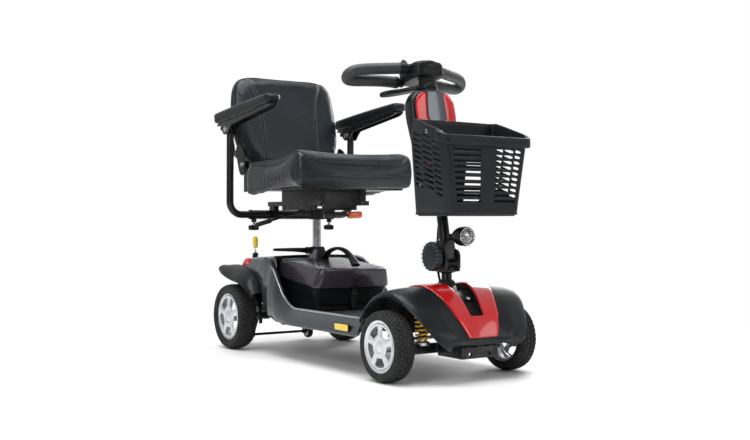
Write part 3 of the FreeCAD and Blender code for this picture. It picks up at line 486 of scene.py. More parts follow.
def cast(name, colour):
    """Sand-cast aluminium with an uneven skin."""
    m = Nodes(name)
    m.set(Base_Color=m.mix(m.remap(m.noise(40, 6), 0.35, 0.7, 0, 1), shade(colour, 0.6), colour),
          Metallic=0.85)
    m.set(Roughness=0.55, Normal=m.bump(m.noise(480, 4), 0.35, 0.0005))
    return m.material


def lens(name, colour, clear=0.85, rough=0.05):
    """Moulded lens with a prism pattern behind the surface."""
    m = Nodes(name)
    prisms = m.cells(330, "F1")
    m.set(Base_Color=m.mix(m.remap(prisms, 0.0, 0.6, 0, 1), shade(colour, 0.55), colour))
    m.set(Roughness=rough, Transmission_Weight=clear, IOR=1.49, Coat_Weight=0.6)
    m.set(Normal=m.bump(prisms, 0.3, 0.0006))
    return m.material


def thread(name, colour):
    m = Nodes(name)
    twist = m.noise(1800, 2, 0.5, (1, 1, 3))
    m.set(Base_Color=m.mix(twist, shade(colour, 0.7), colour),
          Roughness=0.7, Normal=m.bump(twist, 0.4, 0.0003))
    return m.material


VINYL = vinyl("vinyl_slate", (0.009, 0.0125, 0.0165), 0.33)
PIPING = vinyl("vinyl_piping", (0.005, 0.006, 0.008), 0.3)
GATHER = vinyl("vinyl_gathered", (0.014, 0.013, 0.016), 0.42)
THREAD = thread("stitching", (0.3, 0.32, 0.34))
SHELL = paint("shell_gunmetal", (0.043, 0.053, 0.059), 0.3, 0.8, 0.8)
# a lighter copy of the shell paint: a painted highlight for the beads along the rounded deck rim
SHELL_PAINTED_HIGHLIGHT = paint("shell_painted_highlight", (0.34, 0.375, 0.41), 0.24, 0.8, 0.8)
# light grey for the post socket: a painted reflection on its faces
SOCKET_PAINTED_REFLECTION = plastic("socket_painted_reflection", (0.24, 0.235, 0.265), 0.34, 1000, 0.1, wear=0.1)
BAND = paint("tiller_band_grey", (0.1, 0.112, 0.125), 0.28, 0.8, 0.8)
RED = gloss("panel_red", (0.56, 0.003, 0.006))
FENDER = plastic("fender_charcoal", (0.009, 0.0105, 0.012), 0.34, 1100, 0.1, coat=0.1)
INSET = plastic("fender_inset", (0.012, 0.013, 0.015), 0.46, 360, 0.5)
BLACK = plastic("plastic_black", (0.006, 0.0065, 0.0075), 0.38, 1000, 0.15)
BASKET = plastic("basket_black", (0.011, 0.0125, 0.015), 0.38, 760, 0.2)
LID = plastic("lid_aubergine", (0.036, 0.03, 0.043), 0.27, 1200, 0.08, coat=0.45, wear=0.12)
TUB = plastic("tub_charcoal", (0.0095, 0.0115, 0.0125), 0.34, 800, 0.15, wear=0.15)
ARM = plastic("arm_pad", (0.009, 0.011, 0.013), 0.36, 640, 0.28)
DECK = plastic("deck_mat", (0.014, 0.015, 0.0165), 0.5, 420, 0.35)
TYRE = rubber("tyre_rubber", (0.0075, 0.008, 0.0085), 0.14)
GRIP = foam("grip_foam", (0.0115, 0.0135, 0.0155))
CABLE = rubber("cable_sleeve", (0.005, 0.005, 0.0055), 0.06)
POWDER = powder("powder_black", (0.0055, 0.006, 0.0065), 0.3)
RIM = paint("rim_silver", (0.6, 0.62, 0.645), 0.34, 0.55, 0.4, 3200)
CHROME = metal("chrome", (0.72, 0.73, 0.75), 0.08)
STEEL = metal("zinc_steel", (0.6, 0.6, 0.58), 0.28, 0.1)
CAST = cast("cast_aluminium", (0.2, 0.205, 0.21))
SPRING = gloss("spring_yellow", (0.78, 0.47, 0.01), 0.24)
YELLOW = gloss("lever_yellow", (0.86, 0.66, 0.02), 0.25)
ORANGE = gloss("lever_orange", (0.86, 0.14, 0.01), 0.28)
AMBER = lens("reflector_amber", (0.95, 0.68, 0.03), 0.15, 0.2)
TAIL = lens("reflector_red", (0.8, 0.03, 0.05), 0.15, 0.12)
GLASS = lens("lamp_lens", (0.95, 0.96, 0.97), 0.95, 0.02)
KNOB = plastic("knob_slate", (0.014, 0.018, 0.022), 0.38, 700, 0.2)
WHITE_MARK = plastic("mark_white", (0.7, 0.7, 0.68), 0.4, 900, 0.05, wear=0.0)
LEDS_GREEN = plastic("led_green", (0.03, 0.3, 0.06), 0.25, 900, 0.05, wear=0.0)
LEDS_AMBER = plastic("led_amber", (0.5, 0.2, 0.01), 0.25, 900, 0.05, wear=0.0)


# ---------------------------------------------------------------- wheels

def tyre_mesh(centre, side, radius, seat, width, periods):
    """Tyre with staggered block tread: crown blocks, shoulder lugs that run down the sidewall."""
    half = width / 2
    section = [(-half * 0.80, seat - 3), (-half * 0.86, seat + 1), (-half * 0.9, seat + 3),
               (-half * 0.98, lerp(seat, radius, 0.35)), (-half, lerp(seat, radius, 0.5)),
               (-half * 0.985, lerp(seat, radius, 0.64)), (-half * 0.955, radius - 8),
               (-half * 0.88, radius - 5.6),
               (-half * 0.78, radius - 3.8), (-half * 0.72, radius - 3.2), (-half * 0.66, radius - 2.6),
               (-half * 0.44, radius - 1.2), (-half * 0.38, radius - 1.0), (-half * 0.32, radius - 0.8),
               (-half * 0.1, radius - 0.4), (-half * 0.05, radius - 0.4)]
    section = section + [(-x, r) for x, r in reversed(section)]
    across = len(section)
    groove = {9, 12, 15, 16, 19, 22}
    per = 8
    rows = []
    for k in range(periods * per):
        angle = 2 * math.pi * k / (periods * per)
        row = []
        for j, (x, r) in enumerate(section):
            mid = min(j, across - 1 - j)
            phase = k % per
            if mid in (6, 7, 8, 9) or mid in (12, 13, 14):
                phase = (k + per // 2) % per
            cut_here = phase in (0, 1) if mid >= 5 else False
            lug = 0.0
            if 5 <= mid <= 8:
                lug = 0.0 if cut_here else 1.0
            elif mid > 8:
                lug = 0.0 if cut_here or j in groove else 1.0
            depth = 3.0
            rr = r - depth * (1 - lug) if mid >= 6 else r
            xx = x * (1.0 + (0.02 if lug and mid in (5, 6) else 0.0))
            a = angle + (0.012 if mid in (12, 13, 14) else 0.0) * (1 if j < across / 2 else -1)
            row.append((centre[0] + side * xx, centre[1] + rr * math.cos(a), centre[2] + rr * math.sin(a)))
        rows.append(row)
    return grid(rows, around=True, closed=True)


def sidewall_rings(centre, side, radius, seat, width):
    """Two moulded ribs on the outer sidewall."""
    parts = []
    for share in (0.22, 0.5):
        r = lerp(seat, radius, share)
        x = width / 2 * (0.965 if share < 0.3 else 1.0)
        profile = [(side * (x - 0.8), r - 1.1), (side * (x + 0.7), r - 0.5), (side * (x + 0.7), r + 0.5),
                   (side * (x - 0.8), r + 1.1)]
        parts.append(revolve(profile, centre, "X", 96))
    return merged(*parts)


def rim_mesh(centre, side, radius):
    """Five broad flat-faced spokes flaring from a domed hub into the lip."""
    k = radius / 71.0
    radii = [17 * k, 21 * k, 27 * k, 33 * k, 42 * k, 51 * k, 57.5 * k, 61 * k, 65 * k]
    face_x = [21, 21.5, 21, 20.2, 19.5, 19.5, 20, 20.6, 22]
    spoke_half = [10.5, 9.6, 8.6, 8.6, 8.9, 9.8, 11.6, 14, 16]
    columns = 14
    rows = []
    for ring_index, r in enumerate(radii):
        edge = math.asin(min(0.95, spoke_half[ring_index] * k / r))
        edge = min(edge, math.radians(33))
        row = []
        for spoke in range(5):
            base = 2 * math.pi * spoke / 5 + math.pi / 2
            rest = 2 * math.pi / 5 - 2 * edge
            for c in range(columns):
                if c < 5:
                    a = base - edge + 2 * edge * c / 4
                else:
                    a = base + edge + rest * (c - 4) / (columns - 4)
                crown = 0.0
                if c < 5 and 1 < ring_index < 7:
                    crown = 1.6 * (1 - (abs(c - 2) / 2) ** 2)
                row.append((centre[0] + side * (face_x[ring_index] + crown), centre[1] + r * math.cos(a),
                            centre[2] + r * math.sin(a)))
        rows.append(row)

    def open_cell(i, j):
        return 3 <= i <= 5 and (j % columns) >= 4
    return grid(rows, closed=True, skip=open_cell)


def wheel(name, side, radius, seat, width, body, periods):
    low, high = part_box(f"tyre_{name}")
    centre = tuple((low + high) / 2 / MM)
    tread = tyre_mesh(centre, side, radius, seat, width, periods)
    make(f"tyre_{name}_tread", *merged(tread, sidewall_rings(centre, side, radius, seat, width)), TYRE, body,
         (f"tyre_{name}",), sharp=28)
    disc = make(f"rim_{name}_spokes", *rim_mesh(centre, side, seat), RIM, body, (f"rim_{name}",), solid=5.5,
                offset=-side, level=1, sharp=50)
    lip = [(side * x, r) for x, r in ((20, seat - 7), (24.5, seat - 6), (26, seat - 2), (27, seat + 1.4),
                                      (25, seat + 1.6), (20, seat - 2.4), (-20, seat - 2.4),
                                      (-25, seat + 1.6),
                                      (-27, seat + 1.2), (-24, seat - 4), (-20, seat - 7), (16, seat - 9))]
    barrel = revolve(lip + [lip[0]], centre, "X", 80)
    cap = revolve([(side * x, r) for x, r in ((14, 20), (22, 19.5), (25, 18), (26.6, 14), (27.4, 8),
                                              (27.6, 3),
                                              (27.7, 0.01))], centre, "X", 48)
    hub = revolve([(side * x, r) for x, r in ((14, 19), (-12, 17), (-24, 17), (-26, 15), (-26, 8.2),
                                              (14, 8.2),
                                              (14, 19))], centre, "X", 40)
    make(f"rim_{name}_barrel", *merged(barrel, cap, hub), RIM, body, (f"rim_{name}",), sharp=40)
    nuts = []
    for n in range(5):
        a = 2 * math.pi * (n + 0.5) / 5 + math.pi / 2
        spot = (centre[0] + side * 14, centre[1] + 25 * math.cos(a), centre[2] + 25 * math.sin(a))
        nuts.append(revolve([(side * 5.6, 4), (side * 8.4, 3.6), (side * 8.8, 2.6), (side * 8.8, 0.01)],
                            spot, "X", 6))
    make(f"rim_{name}_bolts", *merged(*nuts), STEEL, body, sharp=30)
    valve_angle = 2 * math.pi * 0.5 / 5 + math.pi / 2
    start = Vector((centre[0] + side * 6, centre[1] + (seat - 9) * math.cos(valve_angle),
                    centre[2] + (seat - 9) * math.sin(valve_angle)))
    inward = Vector((side * 0.5, -math.cos(valve_angle), -math.sin(valve_angle)))
    make(f"valve_{name}", *tube([start, start + inward * 8, start + inward * 16], 2.6, 10), CABLE, body)
    return disc


for wheel_side, hand in ((-1, "right"), (1, "left")):
    wheel(f"front_{hand}", wheel_side, 100, 71, 60, f"wheel_front_{hand}", 44)
    wheel(f"rear_{hand}", wheel_side, 112.5, 82, 66, f"wheel_rear_{hand}", 48)


def roller(side):
    """One anti-tip roller: rounded rubber tread on a webbed hub."""
    tread = [(-9, 17), (-9, 22), (-7, 24.3), (-4, 25), (4, 25), (7, 24.3), (9, 22), (9, 17), (-9, 17)]
    return revolve(tread, (side * 124, 585, 33), "X", 40)


make("roller_treads", *merged(roller(-1), roller(1)), TYRE, "anti_tip_wheels", ("anti_tip_wheels",))
hub_profile = [(-8, 16.9), (8, 16.9), (6, 12), (9.5, 8), (9.5, 3), (-9.5, 3), (-9.5, 8), (-6, 12), (-8, 16.9)]
make("roller_hubs", *merged(*[revolve(hub_profile, (s * 124, 585, 33), "X", 32) for s in SIDES]), STEEL,
     "anti_tip_wheels")
make("roller_shaft", *tube([(-136, 585, 33), (0, 585, 33), (136, 585, 33)], 4.9, 16),
     POWDER, "anti_tip_wheels")


# ---------------------------------------------------------------- bodywork in front

COUNT_S, COUNT_T = 72, 24
FENDER_EDGE = spline([(226, -303, 158), (226, -322, 184), (226, -350, 212), (226, -385, 231),
                      (224, -426, 240),
                      (219, -466, 233), (208, -505, 212), (192, -538, 183), (176, -563, 152),
                      (158, -580, 124),
                      (134, -586, 104), (106, -574, 92)], COUNT_S)
FENDER_MID = spline([(226, -303, 168), (200, -322, 200), (184, -350, 230), (170, -385, 249), (160, -426, 258),
                     (148, -466, 255), (134, -508, 233), (122, -545, 197), (110, -574, 158), (97, -590, 130),
                     (84, -590, 112), (70, -576, 104)], COUNT_S)
FENDER_RIDGE = spline([(0, -303, 168), (0, -322, 202), (0, -350, 236), (0, -385, 255), (0, -426, 264),
                       (0, -466, 261), (0, -508, 235), (0, -545, 192), (0, -568, 152), (0, -578, 126),
                       (0, -578, 112), (0, -572, 102)], COUNT_S)


def fender_point(i, t):
    """t runs from the middle plane (0) to the outer edge (1)."""
    a, b, c = FENDER_RIDGE[i], FENDER_MID[i], FENDER_EDGE[i]
    if t < 0.5:
        return crown_point(i, b.x * t * 2)
    u = (t - 0.5) * 2
    bend = Vector((c.x, lerp(b.y, c.y, 0.6), lerp(b.z, c.z, 0.22)))
    return b * (1 - u) ** 2 + bend * 2 * u * (1 - u) + c * u * u


def crown_point(i, x):
    """A point of the moulding's crown at a distance x from the middle plane."""
    a, b = FENDER_RIDGE[i], FENDER_MID[i]
    u = abs(x) / b.x
    return Vector((x, lerp(a.y, b.y, u * u), a.z + (b.z - a.z) * u * u))


def crown_normal(i, x):
    along = crown_point(min(i + 1, COUNT_S - 1), x) - crown_point(max(i - 1, 0), x)
    across = crown_point(i, x + 2) - crown_point(i, x - 2)
    return across.cross(along).normalized() * (-1 if across.cross(along).z - across.cross(along).y < 0 else 1)


def piecewise(at, points):
    """A smooth-stepped line through (position, value) pairs."""
    if at <= points[0][0]:
        return points[0][1]
    for (a, va), (b, vb) in zip(points, points[1:]):
        if at <= b:
            t = (at - a) / (b - a)
            return lerp(va, vb, t * t * (3 - 2 * t))
    return points[-1][1]


COWL_FIRST = next(i for i, p in enumerate(FENDER_RIDGE) if p.y < -392)
COWL_LAST = next(i for i, p in enumerate(FENDER_RIDGE) if p.z < 124 and p.y < -500)
NOTCH_LAST = next(i for i, p in enumerate(FENDER_RIDGE) if p.y < -549)


def cowl_half(i):
    """Half-width of the painted shield at each row."""
    return straight(FENDER_RIDGE[i].z if i > NOTCH_LAST else 400 - FENDER_RIDGE[i].y,
                    ((118, 47), (126, 52), (150, 63), (186, 77), (792, 120), (836, 118), (866, 111),
                     (906, 97),
                     (949, 78)))


def straight(at, points):
    if at <= points[0][0]:
        return points[0][1]
    for (a, va), (b, vb) in zip(points, points[1:]):
        if at <= b:
            return lerp(va, vb, (at - a) / (b - a))
    return points[-1][1]


def notch_half(i):
    """Half-width of the dark notch between the two arms of the shield."""
    return straight(-FENDER_RIDGE[i].y, ((392, 44), (440, 41), (500, 33), (549, 24), (600, 20)))


def under_cowl(i, j):
    """The moulding is open beneath the painted shield."""
    if not COWL_FIRST + 1 <= i < COWL_LAST - 2:
        return False
    half = min(cowl_half(i), cowl_half(i + 1)) - 7
    return max(abs(fender_point(i, abs(FENDER_T[k])).x) for k in (j, j + 1)) < half


FENDER_T = [k / COUNT_T for k in range(-COUNT_T, COUNT_T + 1)]


def fender_rows():
    rows = []
    for i in range(COUNT_S):
        row = []
        for t in FENDER_T:
            p = fender_point(i, abs(t))
            row.append(Vector((p.x if t > 0 else -p.x, p.y, p.z)))
        for side in SIDES:
            edge = row[-1] if side > 0 else row[0]
            forward = min(1.0, max(0.0, (i - 30) / 20))
            curl = [edge + Vector((side * 0.5, 0, -2.5)),
                    edge + Vector((-side * 6, 5 * forward, -4.5))]
            row = row + curl if side > 0 else list(reversed(curl)) + row
        rows.append(row)
    return rows


def fender_open(i, j):
    return 2 <= j < len(FENDER_T) + 1 and under_cowl(i, j - 2)


make("front_fender_moulded", *facing(grid(fender_rows(), skip=fender_open), (0, -430, 100)),
     FENDER, "chassis",
     ("front_fender",), solid=4, sharp=48)


def nose_inset(side):
    """Textured panel set into each nose corner, with a raised lip round it."""
    rows = []
    first, last = 51, 67
    for i in range(first, last + 1):
        row = []
        for j in range(14):
            u, v = (i - first) / (last - first), j / 13
            low, high = lerp(0.84, 0.58, min(1, u * 1.5)), lerp(0.955, 0.93, u)
            t = lerp(low, high, v)
            p, q = fender_point(i, t), fender_point(min(i + 1, COUNT_S - 1), t)
            r = fender_point(i, min(1, t + 0.02))
            normal = (q - p).cross(r - p).normalized()
            if normal.y > 0:
                normal = -normal
            border = min(i - first, last - i, j, 13 - j)
            p = p + normal * (-1.6, 1.5, 1.7, 0.7)[min(border, 3)]
            row.append((side * p.x, p.y, p.z))
        rows.append(row)
    return grid(rows)


for inset_side, hand in ((-1, "right"), (1, "left")):
    make(f"nose_inset_{hand}", *nose_inset(inset_side), INSET, "chassis", sharp=60, level=1)


# the painted shield: a U that lies on the crown of the moulding
def cowl_rows():
    rows = []
    for i in range(COWL_FIRST, COWL_LAST + 1):
        half, notch = cowl_half(i), notch_half(i)
        stops = [notch * k / 4 for k in range(4)] + [lerp(notch, half, k / 12) for k in range(13)]
        row = []
        for x in [-x for x in reversed(stops[1:])] + stops:
            rim = max(0.0, 1 - (half - abs(x)) / 9)
            row.append(crown_point(i, x) + crown_normal(i, x) * (4.6 - 1.6 * rim ** 2))
        rows.append(row)
    return rows


def cowl_open(i, j):
    return i + COWL_FIRST < NOTCH_LAST and 12 <= j < 20


make("cowl_red", *facing(grid(cowl_rows(), skip=cowl_open), (0, -430, 100)), RED, "chassis",
            ("front_cowl",),
            solid=6, sharp=40, bevel=1.3)

tray = []
for i in range(COWL_FIRST, NOTCH_LAST + 1):
    p = FENDER_RIDGE[i]
    half = notch_half(i) + 2.5
    level = p.z - (22 if i < NOTCH_LAST else 10)
    row = [(-half - 2, p.y, p.z - 5), (-half, p.y, p.z - 6), (-half * 0.94, p.y + 1, level + 3),
           (-half * 0.8, p.y + 1, level)]
    row += [(x * half * 0.8, p.y + 1, level) for x in (-0.5, 0, 0.5)]
    row += [(-v[0], v[1], v[2]) for v in reversed(row[:4])]
    tray.append(row)


def stem_hole(i, j):
    return tray[i][5][1] > -442 and 2 <= j <= 7


make("cowl_recess", *grid(tray, skip=stem_hole), BLACK, "chassis", ("front_cowl",), solid=2.5, sharp=40)
bolts = [screw_head((x, y, z), "Z", 6.5, 5) for x, y, z in ((-13, -470, 250), (12, -500, 225),
                                                            (-6, -459, 256))]
make("recess_bolts", *merged(*bolts), STEEL, "chassis", sharp=30)
washers = [revolve([(0, 9), (1.6, 9), (1.6, 4), (0, 4)], (x, y, z - 0.6), "Z", 24)
           for x, y, z in ((-13, -470, 250), (12, -500, 225), (-6, -459, 256))]
make("recess_washers", *merged(*washers), CHROME, "chassis", sharp=30)
collar = [(-6, 24), (0, 25), (5, 23.5), (9, 19), (10.5, 16.4), (6, 15.6), (-6, 15.6)]
make("stem_gaiter", *revolve(collar, (0, -418, 266), "Z", 48), CABLE, "chassis", sharp=50)


# ---------------------------------------------------------------- body shell

def shell_side(y):
    """Half-widths and heights of the painted side at a station: bottom, waist, top and inner edge."""
    top = CURVE_TOP(y)
    low = CURVE_LOW(y)
    wide_top = piecewise(y, ((-305, 212), (150, 212), (215, 207), (262, 202), (300, 198), (465, 196),
                             (520, 190),
                             (548, 182)))
    wide_low = piecewise(y, ((-305, 231), (95, 231), (180, 229), (250, 223), (300, 214), (345, 203),
                             (380, 199),
                             (465, 198), (548, 190)))
    inner = piecewise(y, ((-305, 206), (110, 205), (211, 194), (250, 189), (287, 173), (320, 158),
                          (340, 152)))
    return wide_low, low, wide_top, top, inner


def CURVE_TOP(y):
    return straight(y, ((-305, 166), (92, 167), (108, 169), (124, 173.5), (140, 180), (160, 191), (181, 206),
                        (198, 223),
                        (214, 242), (232, 263), (250, 281), (268, 296), (287, 307), (305, 315), (322, 320),
                        (340, 323),
                        (400, 321), (465, 315), (476, 311), (486, 304), (520, 276), (548, 246)))


def CURVE_LOW(y):
    return piecewise(y, ((-305, 118), (-285, 113), (95, 113), (180, 117), (250, 128), (300, 154), (326, 186),
                         (344, 232), (380, 252), (430, 262), (500, 256), (530, 236), (548, 150)))


def side_section(y):
    """Outline from the bottom edge up the outside, over the shoulder and down the inner edge."""
    wide_low, low, wide_top, top, inner = shell_side(y)
    tall = top - low
    radius = min(13, 0.3 * max(tall, 6), 0.45 * max(wide_top - inner, 8))
    bulge = 4.5 + 3.5 * min(1, tall / 150)
    out = [(wide_low - 7, low + 1.5), (wide_low - 2, low - 0.5), (wide_low + 0.6, low + 2.5)]
    for k in range(1, 9):
        u = k / 9
        x = lerp(wide_low, wide_top, u ** 1.5) + bulge * math.sin(math.pi * u) * 0.55
        out.append((min(x, 236), lerp(low, top - radius, u)))
    for k in range(5):
        a = math.radians(90 * k / 4)
        out.append((wide_top - radius + radius * math.cos(a) + 0.8 * (1 - k / 4),
                    top - radius + radius * math.sin(a)))
    flat = wide_top - radius - inner
    for u in (0.35, 0.7):
        out.append((wide_top - radius - flat * u, top + 0.8 * math.sin(math.pi * u)))
    out.append((inner + 3.0, top))
    out.append((inner + 0.6, top - 2.2))
    out.append((inner, top - 6))
    out.append((inner, 150.5))
    return out


STATIONS = [-304, -298, -285, -240, -180, -100, -20, 60, 92, 108, 124, 140, 150, 160, 170, 181, 190, 198, 206,
            214, 223,
            232, 241, 250, 259, 268, 277, 287, 296, 305, 314, 322, 331, 340, 347, 354]
for shell_hand, hand in ((-1, "right"), (1, "left")):
    rows = [[(shell_hand * x, y, z) for x, z in side_section(y)] for y in STATIONS]
    make(f"shell_side_{hand}", *grid(rows), SHELL, "chassis", ("body_shell",), sharp=42,
         solid=2.2, offset=1 if shell_hand > 0 else -1)

rear_rows = []
for y in (354, 362, 372, 385, 400, 420, 440, 455, 466, 474, 482, 490, 500, 512, 524, 535, 543, 548):
    wide_low, low, wide_top, top, inner = shell_side(y)
    section = side_section(y)[:16]
    crown = 5.0
    reach = section[-1][0]
    half = section + [(reach * (1 - u), top + crown * math.sin(u * math.pi / 2)) for u in (0.15, 0.35, 0.6,
                                                                                           0.85)]
    rear_rows.append([(x, y, z) for x, z in half] + [(0, y, top + crown)] + [(-x, y, z)
        for x, z in reversed(half)])
last = rear_rows[-1]
for drop, back in ((6, 2.5), (20, 3.5), (60, 4), (96, 4), (100, 1)):
    rear_rows.append([(v[0] * (1 - 0.0004 * drop), 548 + back, max(v[2] - drop, 148) if v[2] > 150 else v[2])
                      for v in last])
make("shell_rear", *grid(rear_rows), SHELL, "chassis", ("body_shell",), sharp=42, solid=2.2, offset=1)

# floor pan, bay walls and the wheel wells behind the painted side
pan = cuboid((-206, 206), (-304, 356), (146.2, 149.6))
bay_back = slab([(-154, 150), (154, 150), (154, 318), (-154, 318)], "Y", 354.5, 357)
make("deck_pan", *merged(pan, bay_back), BLACK, "chassis", ("body_shell",), bevel=0.8)
wells = []
for side in SIDES:
    arch = []
    for k in range(15):
        a = math.radians(-8 + 196 * k / 14)
        y, z = 493 + 128 * math.cos(a), 112.5 + 128 * math.sin(a)
        if y > 548:
            continue
        arch.append([(side * 184, min(y, 549), z), (side * 191, min(y, 549), z + 0.5),
                     (side * 197.5, min(y, 549), z)])
    wells.append(grid(arch))
    wells.append(slab([(548, 150), (548, 238), (493, 240), (430, 224), (392, 190), (370, 150)], "X",
                      min(side * 180.5, side * 183.5), max(side * 180.5, side * 183.5)))
make("wheel_wells", *merged(*wells), BLACK, "chassis", ("body_shell",), solid=0.0, sharp=40)

rows = []
ribs = 27
for i in range(ribs * 4 + 1):
    y = -292 + 352 * i / (ribs * 4)
    z = 154.6 if i % 4 in (1, 2) else 152.2
    z = 152.2 if i in (0, ribs * 4) else z
    rows.append([(-194, y, 150.2), (-193, y, 151.6), (-188, y, 152.2), (-184, y, z), (-60, y, z), (0, y, z),
                 (60, y, z),
                 (184, y, z), (188, y, 152.2), (193, y, 151.6), (194, y, 150.2)])
# the rim beads carry the lighter shell paint: a painted highlight along the deck rim and up the cheek edge
rims = []
for side in SIDES:
    line = [(side * 208.4, y, 164.6) for y in (-300, -240, -160, -80, 0, 60, 92)]
    line += [(side * (lerp(208.4, 204, k / 9)), y, CURVE_TOP(y) - 2.2)
             for k, y in enumerate((108, 124, 140, 160, 181, 198, 214, 232, 250, 268))]
    path = spline(line, 70)
    rims.append(sweep(path, lambda t: ring(4.4 - 3.0 * max(0, t - 0.55) / 0.45, 14)))
make("deck_rim_beads", *merged(*rims), SHELL_PAINTED_HIGHLIGHT, "chassis", ("body_shell",), sharp=60)

make("foot_mat_ribbed", *grid(rows), DECK, "chassis", ("foot_mat",), sharp=30)


def rear_fender(side):
    inner = spline([(199, 342, 200), (199, 366, 236), (198, 400, 262), (198, 440, 279), (198, 490, 287),
                    (202, 540, 287), (212, 577, 283)], 30)
    outer = spline([(236, 342, 192), (242, 362, 213), (246, 396, 232), (247, 440, 242), (247, 490, 249),
                    (246, 545, 262), (238, 588, 277)], 30)
    rows = []
    for a, b in zip(inner, outer):
        mid = (a + b) / 2 + Vector((4, 0, 9))
        row = []
        for k in range(11):
            u = k / 10
            row.append(a * (1 - u) ** 2 + mid * 2 * u * (1 - u) + b * u * u)
        edge = row[-1]
        row.append(edge + Vector((0.3, 0, -4)))
        row.append(edge + Vector((-3, 0, -6)))
        rows.append([(side * p.x, p.y, p.z) for p in row])
    return grid(rows)


for fender_hand, hand in ((-1, "right"), (1, "left")):
    make(f"rear_fender_{hand}", *rear_fender(fender_hand), FENDER, "chassis", ("rear_fenders",), solid=4,
         offset=1 if fender_hand > 0 else -1, sharp=50)


def side_reflector(side):
    outline = rounded_outline(35, 8.2, 3, 4, -220.5, 135.5)
    face = slab(outline, "X", min(side * 230, side * 235.6), max(side * 230, side * 235.6))
    return face


make("side_reflectors", *merged(side_reflector(-1), side_reflector(1)), AMBER, "chassis", ("reflectors",),
     bevel=1.2)
frames = []
for side in SIDES:
    outer_frame = rounded_outline(38, 10.8, 4, 4, -220.5, 135.5)
    frames.append(slab(outer_frame, "X", min(side * 229, side * 234.4), max(side * 229, side * 234.4)))
make("side_reflector_bezels", *merged(*frames), BLACK, "chassis", bevel=1.0)


def tail_lamp(side):
    """Oval lens wrapped over the rear shoulder, from the slope round to the side."""
    rows = []
    for i in range(13):
        v = i / 12 * 2 - 1
        y = 470 + 34 * v
        section = [Vector((0, x, z)) for x, z in side_section(y)[8:16]]
        line = spline([(0, p.y, p.z) for p in section], 60)
        row = []
        for j in range(17):
            u = j / 16 * 2 - 1
            grow = math.sqrt(max(0.0, 1 - abs(u) ** 3 - abs(v) ** 3))
            at = line[min(59, max(0, int(round(lerp(9, 50, j / 16)))))]
            away = Vector((0, at.y - 150, (at.z - 262) * 0.9)).normalized()
            row.append((side * (at.y + away.y * (0.6 + 5.0 * grow)), y, at.z + away.z * (0.6 + 5.0 * grow)))
        rows.append(row)
    return grid(rows)


make("tail_lamps", *merged(tail_lamp(-1), tail_lamp(1)), TAIL, "chassis", ("reflectors",), sharp=60)


# ---------------------------------------------------------------- battery box

def box_ring(half, front, rear, bow, radius, z_front, z_rear, steps=7, across=14):
    """A closed ring round the battery box whose front is bowed forward and whose plane can tilt."""
    outline = []
    base = rounded_outline(half, (rear - front) / 2, radius, steps, 0, (rear + front) / 2)
    for x, y in base:
        outline.append((x, y))
    dense = []
    for (x0, y0), (x1, y1) in zip(outline, outline[1:] + outline[:1]):
        long_edge = math.hypot(x1 - x0, y1 - y0) > 30
        for k in range(across if long_edge else 1):
            t = k / across if long_edge else 0
            dense.append((lerp(x0, x1, t), lerp(y0, y1, t)))
    out = []
    for x, y in dense:
        forward = max(0.0, 1 - (y - front) / 60)
        y2 = y - bow * (1 - min(1, abs(x) / half) ** 2) * min(1, forward)
        t = (y - front) / (rear - front)
        out.append((x, y2, lerp(z_front, z_rear, t)))
    return out


def box_of(rings, cap_low=True, cap_high=True):
    verts, faces = grid(rings, closed=True)
    n = len(rings[0])
    if cap_high:
        middle = len(verts)
        last = rings[-1]
        verts.append(tuple(sum(c) / n for c in zip(*last)))
        verts[middle] = (0, verts[middle][1], verts[middle][2] + 1.0)
        faces += [((len(rings) - 1) * n + k, (len(rings) - 1) * n + (k + 1) % n, middle) for k in range(n)]
    if cap_low:
        faces.append(tuple(range(n)))
    return verts, faces


def carve(obj, *cutters):
    """Takes closed shapes away from a piece."""
    for verts, faces in cutters:
        mesh = bpy.data.meshes.new("cutter")
        mesh.from_pydata([Vector(v) * MM for v in verts], [], faces)
        tool = bpy.data.objects.new("cutter", mesh)
        bpy.context.scene.collection.objects.link(tool)
        work = bmesh.new()
        work.from_mesh(mesh)
        bmesh.ops.recalc_face_normals(work, faces=work.faces)
        work.to_mesh(mesh)
        work.free()
        bite = obj.modifiers.new("cut", "BOOLEAN")
        bite.object, bite.operation, bite.solver = tool, "DIFFERENCE", "EXACT"
        material = obj.data.materials[0]
        apply_all(obj)
        obj.data.materials.clear()
        obj.data.materials.append(material)
        bpy.data.objects.remove(tool)
    for polygon in obj.data.polygons:
        polygon.material_index = 0
    return obj


lid_rings = [box_ring(143.5, 78, 347, 12, 22, 229, 262), box_ring(145.2, 76, 349, 13, 23, 228, 261),
             box_ring(145.8, 75.4, 349.4, 13, 23, 231, 264), box_ring(144, 74, 349, 13.5, 22, 240, 270),
             box_ring(138, 70, 348, 15, 21, 262, 290), box_ring(132, 66.5, 346, 16, 20, 281, 308),
             box_ring(130.4, 66.6, 345, 16, 20, 285.2, 312), box_ring(127.6, 68.6, 343, 16, 19.6, 288, 314.6),
             box_ring(122.5, 74, 338, 16, 19, 290, 316.4), box_ring(105, 92, 320, 14, 18, 293.4, 317.4),
             box_ring(70, 125, 290, 9, 16, 298, 317.4), box_ring(30, 170, 245, 4, 12, 304, 314)]
lid = make("battery_lid_moulded", *box_of(lid_rings), LID, "battery_pack", ("battery_lid",), sharp=30)
carve(lid, cuboid((-27, 27), (286, 370), (200, 345)))
finish_mesh(lid, 32)

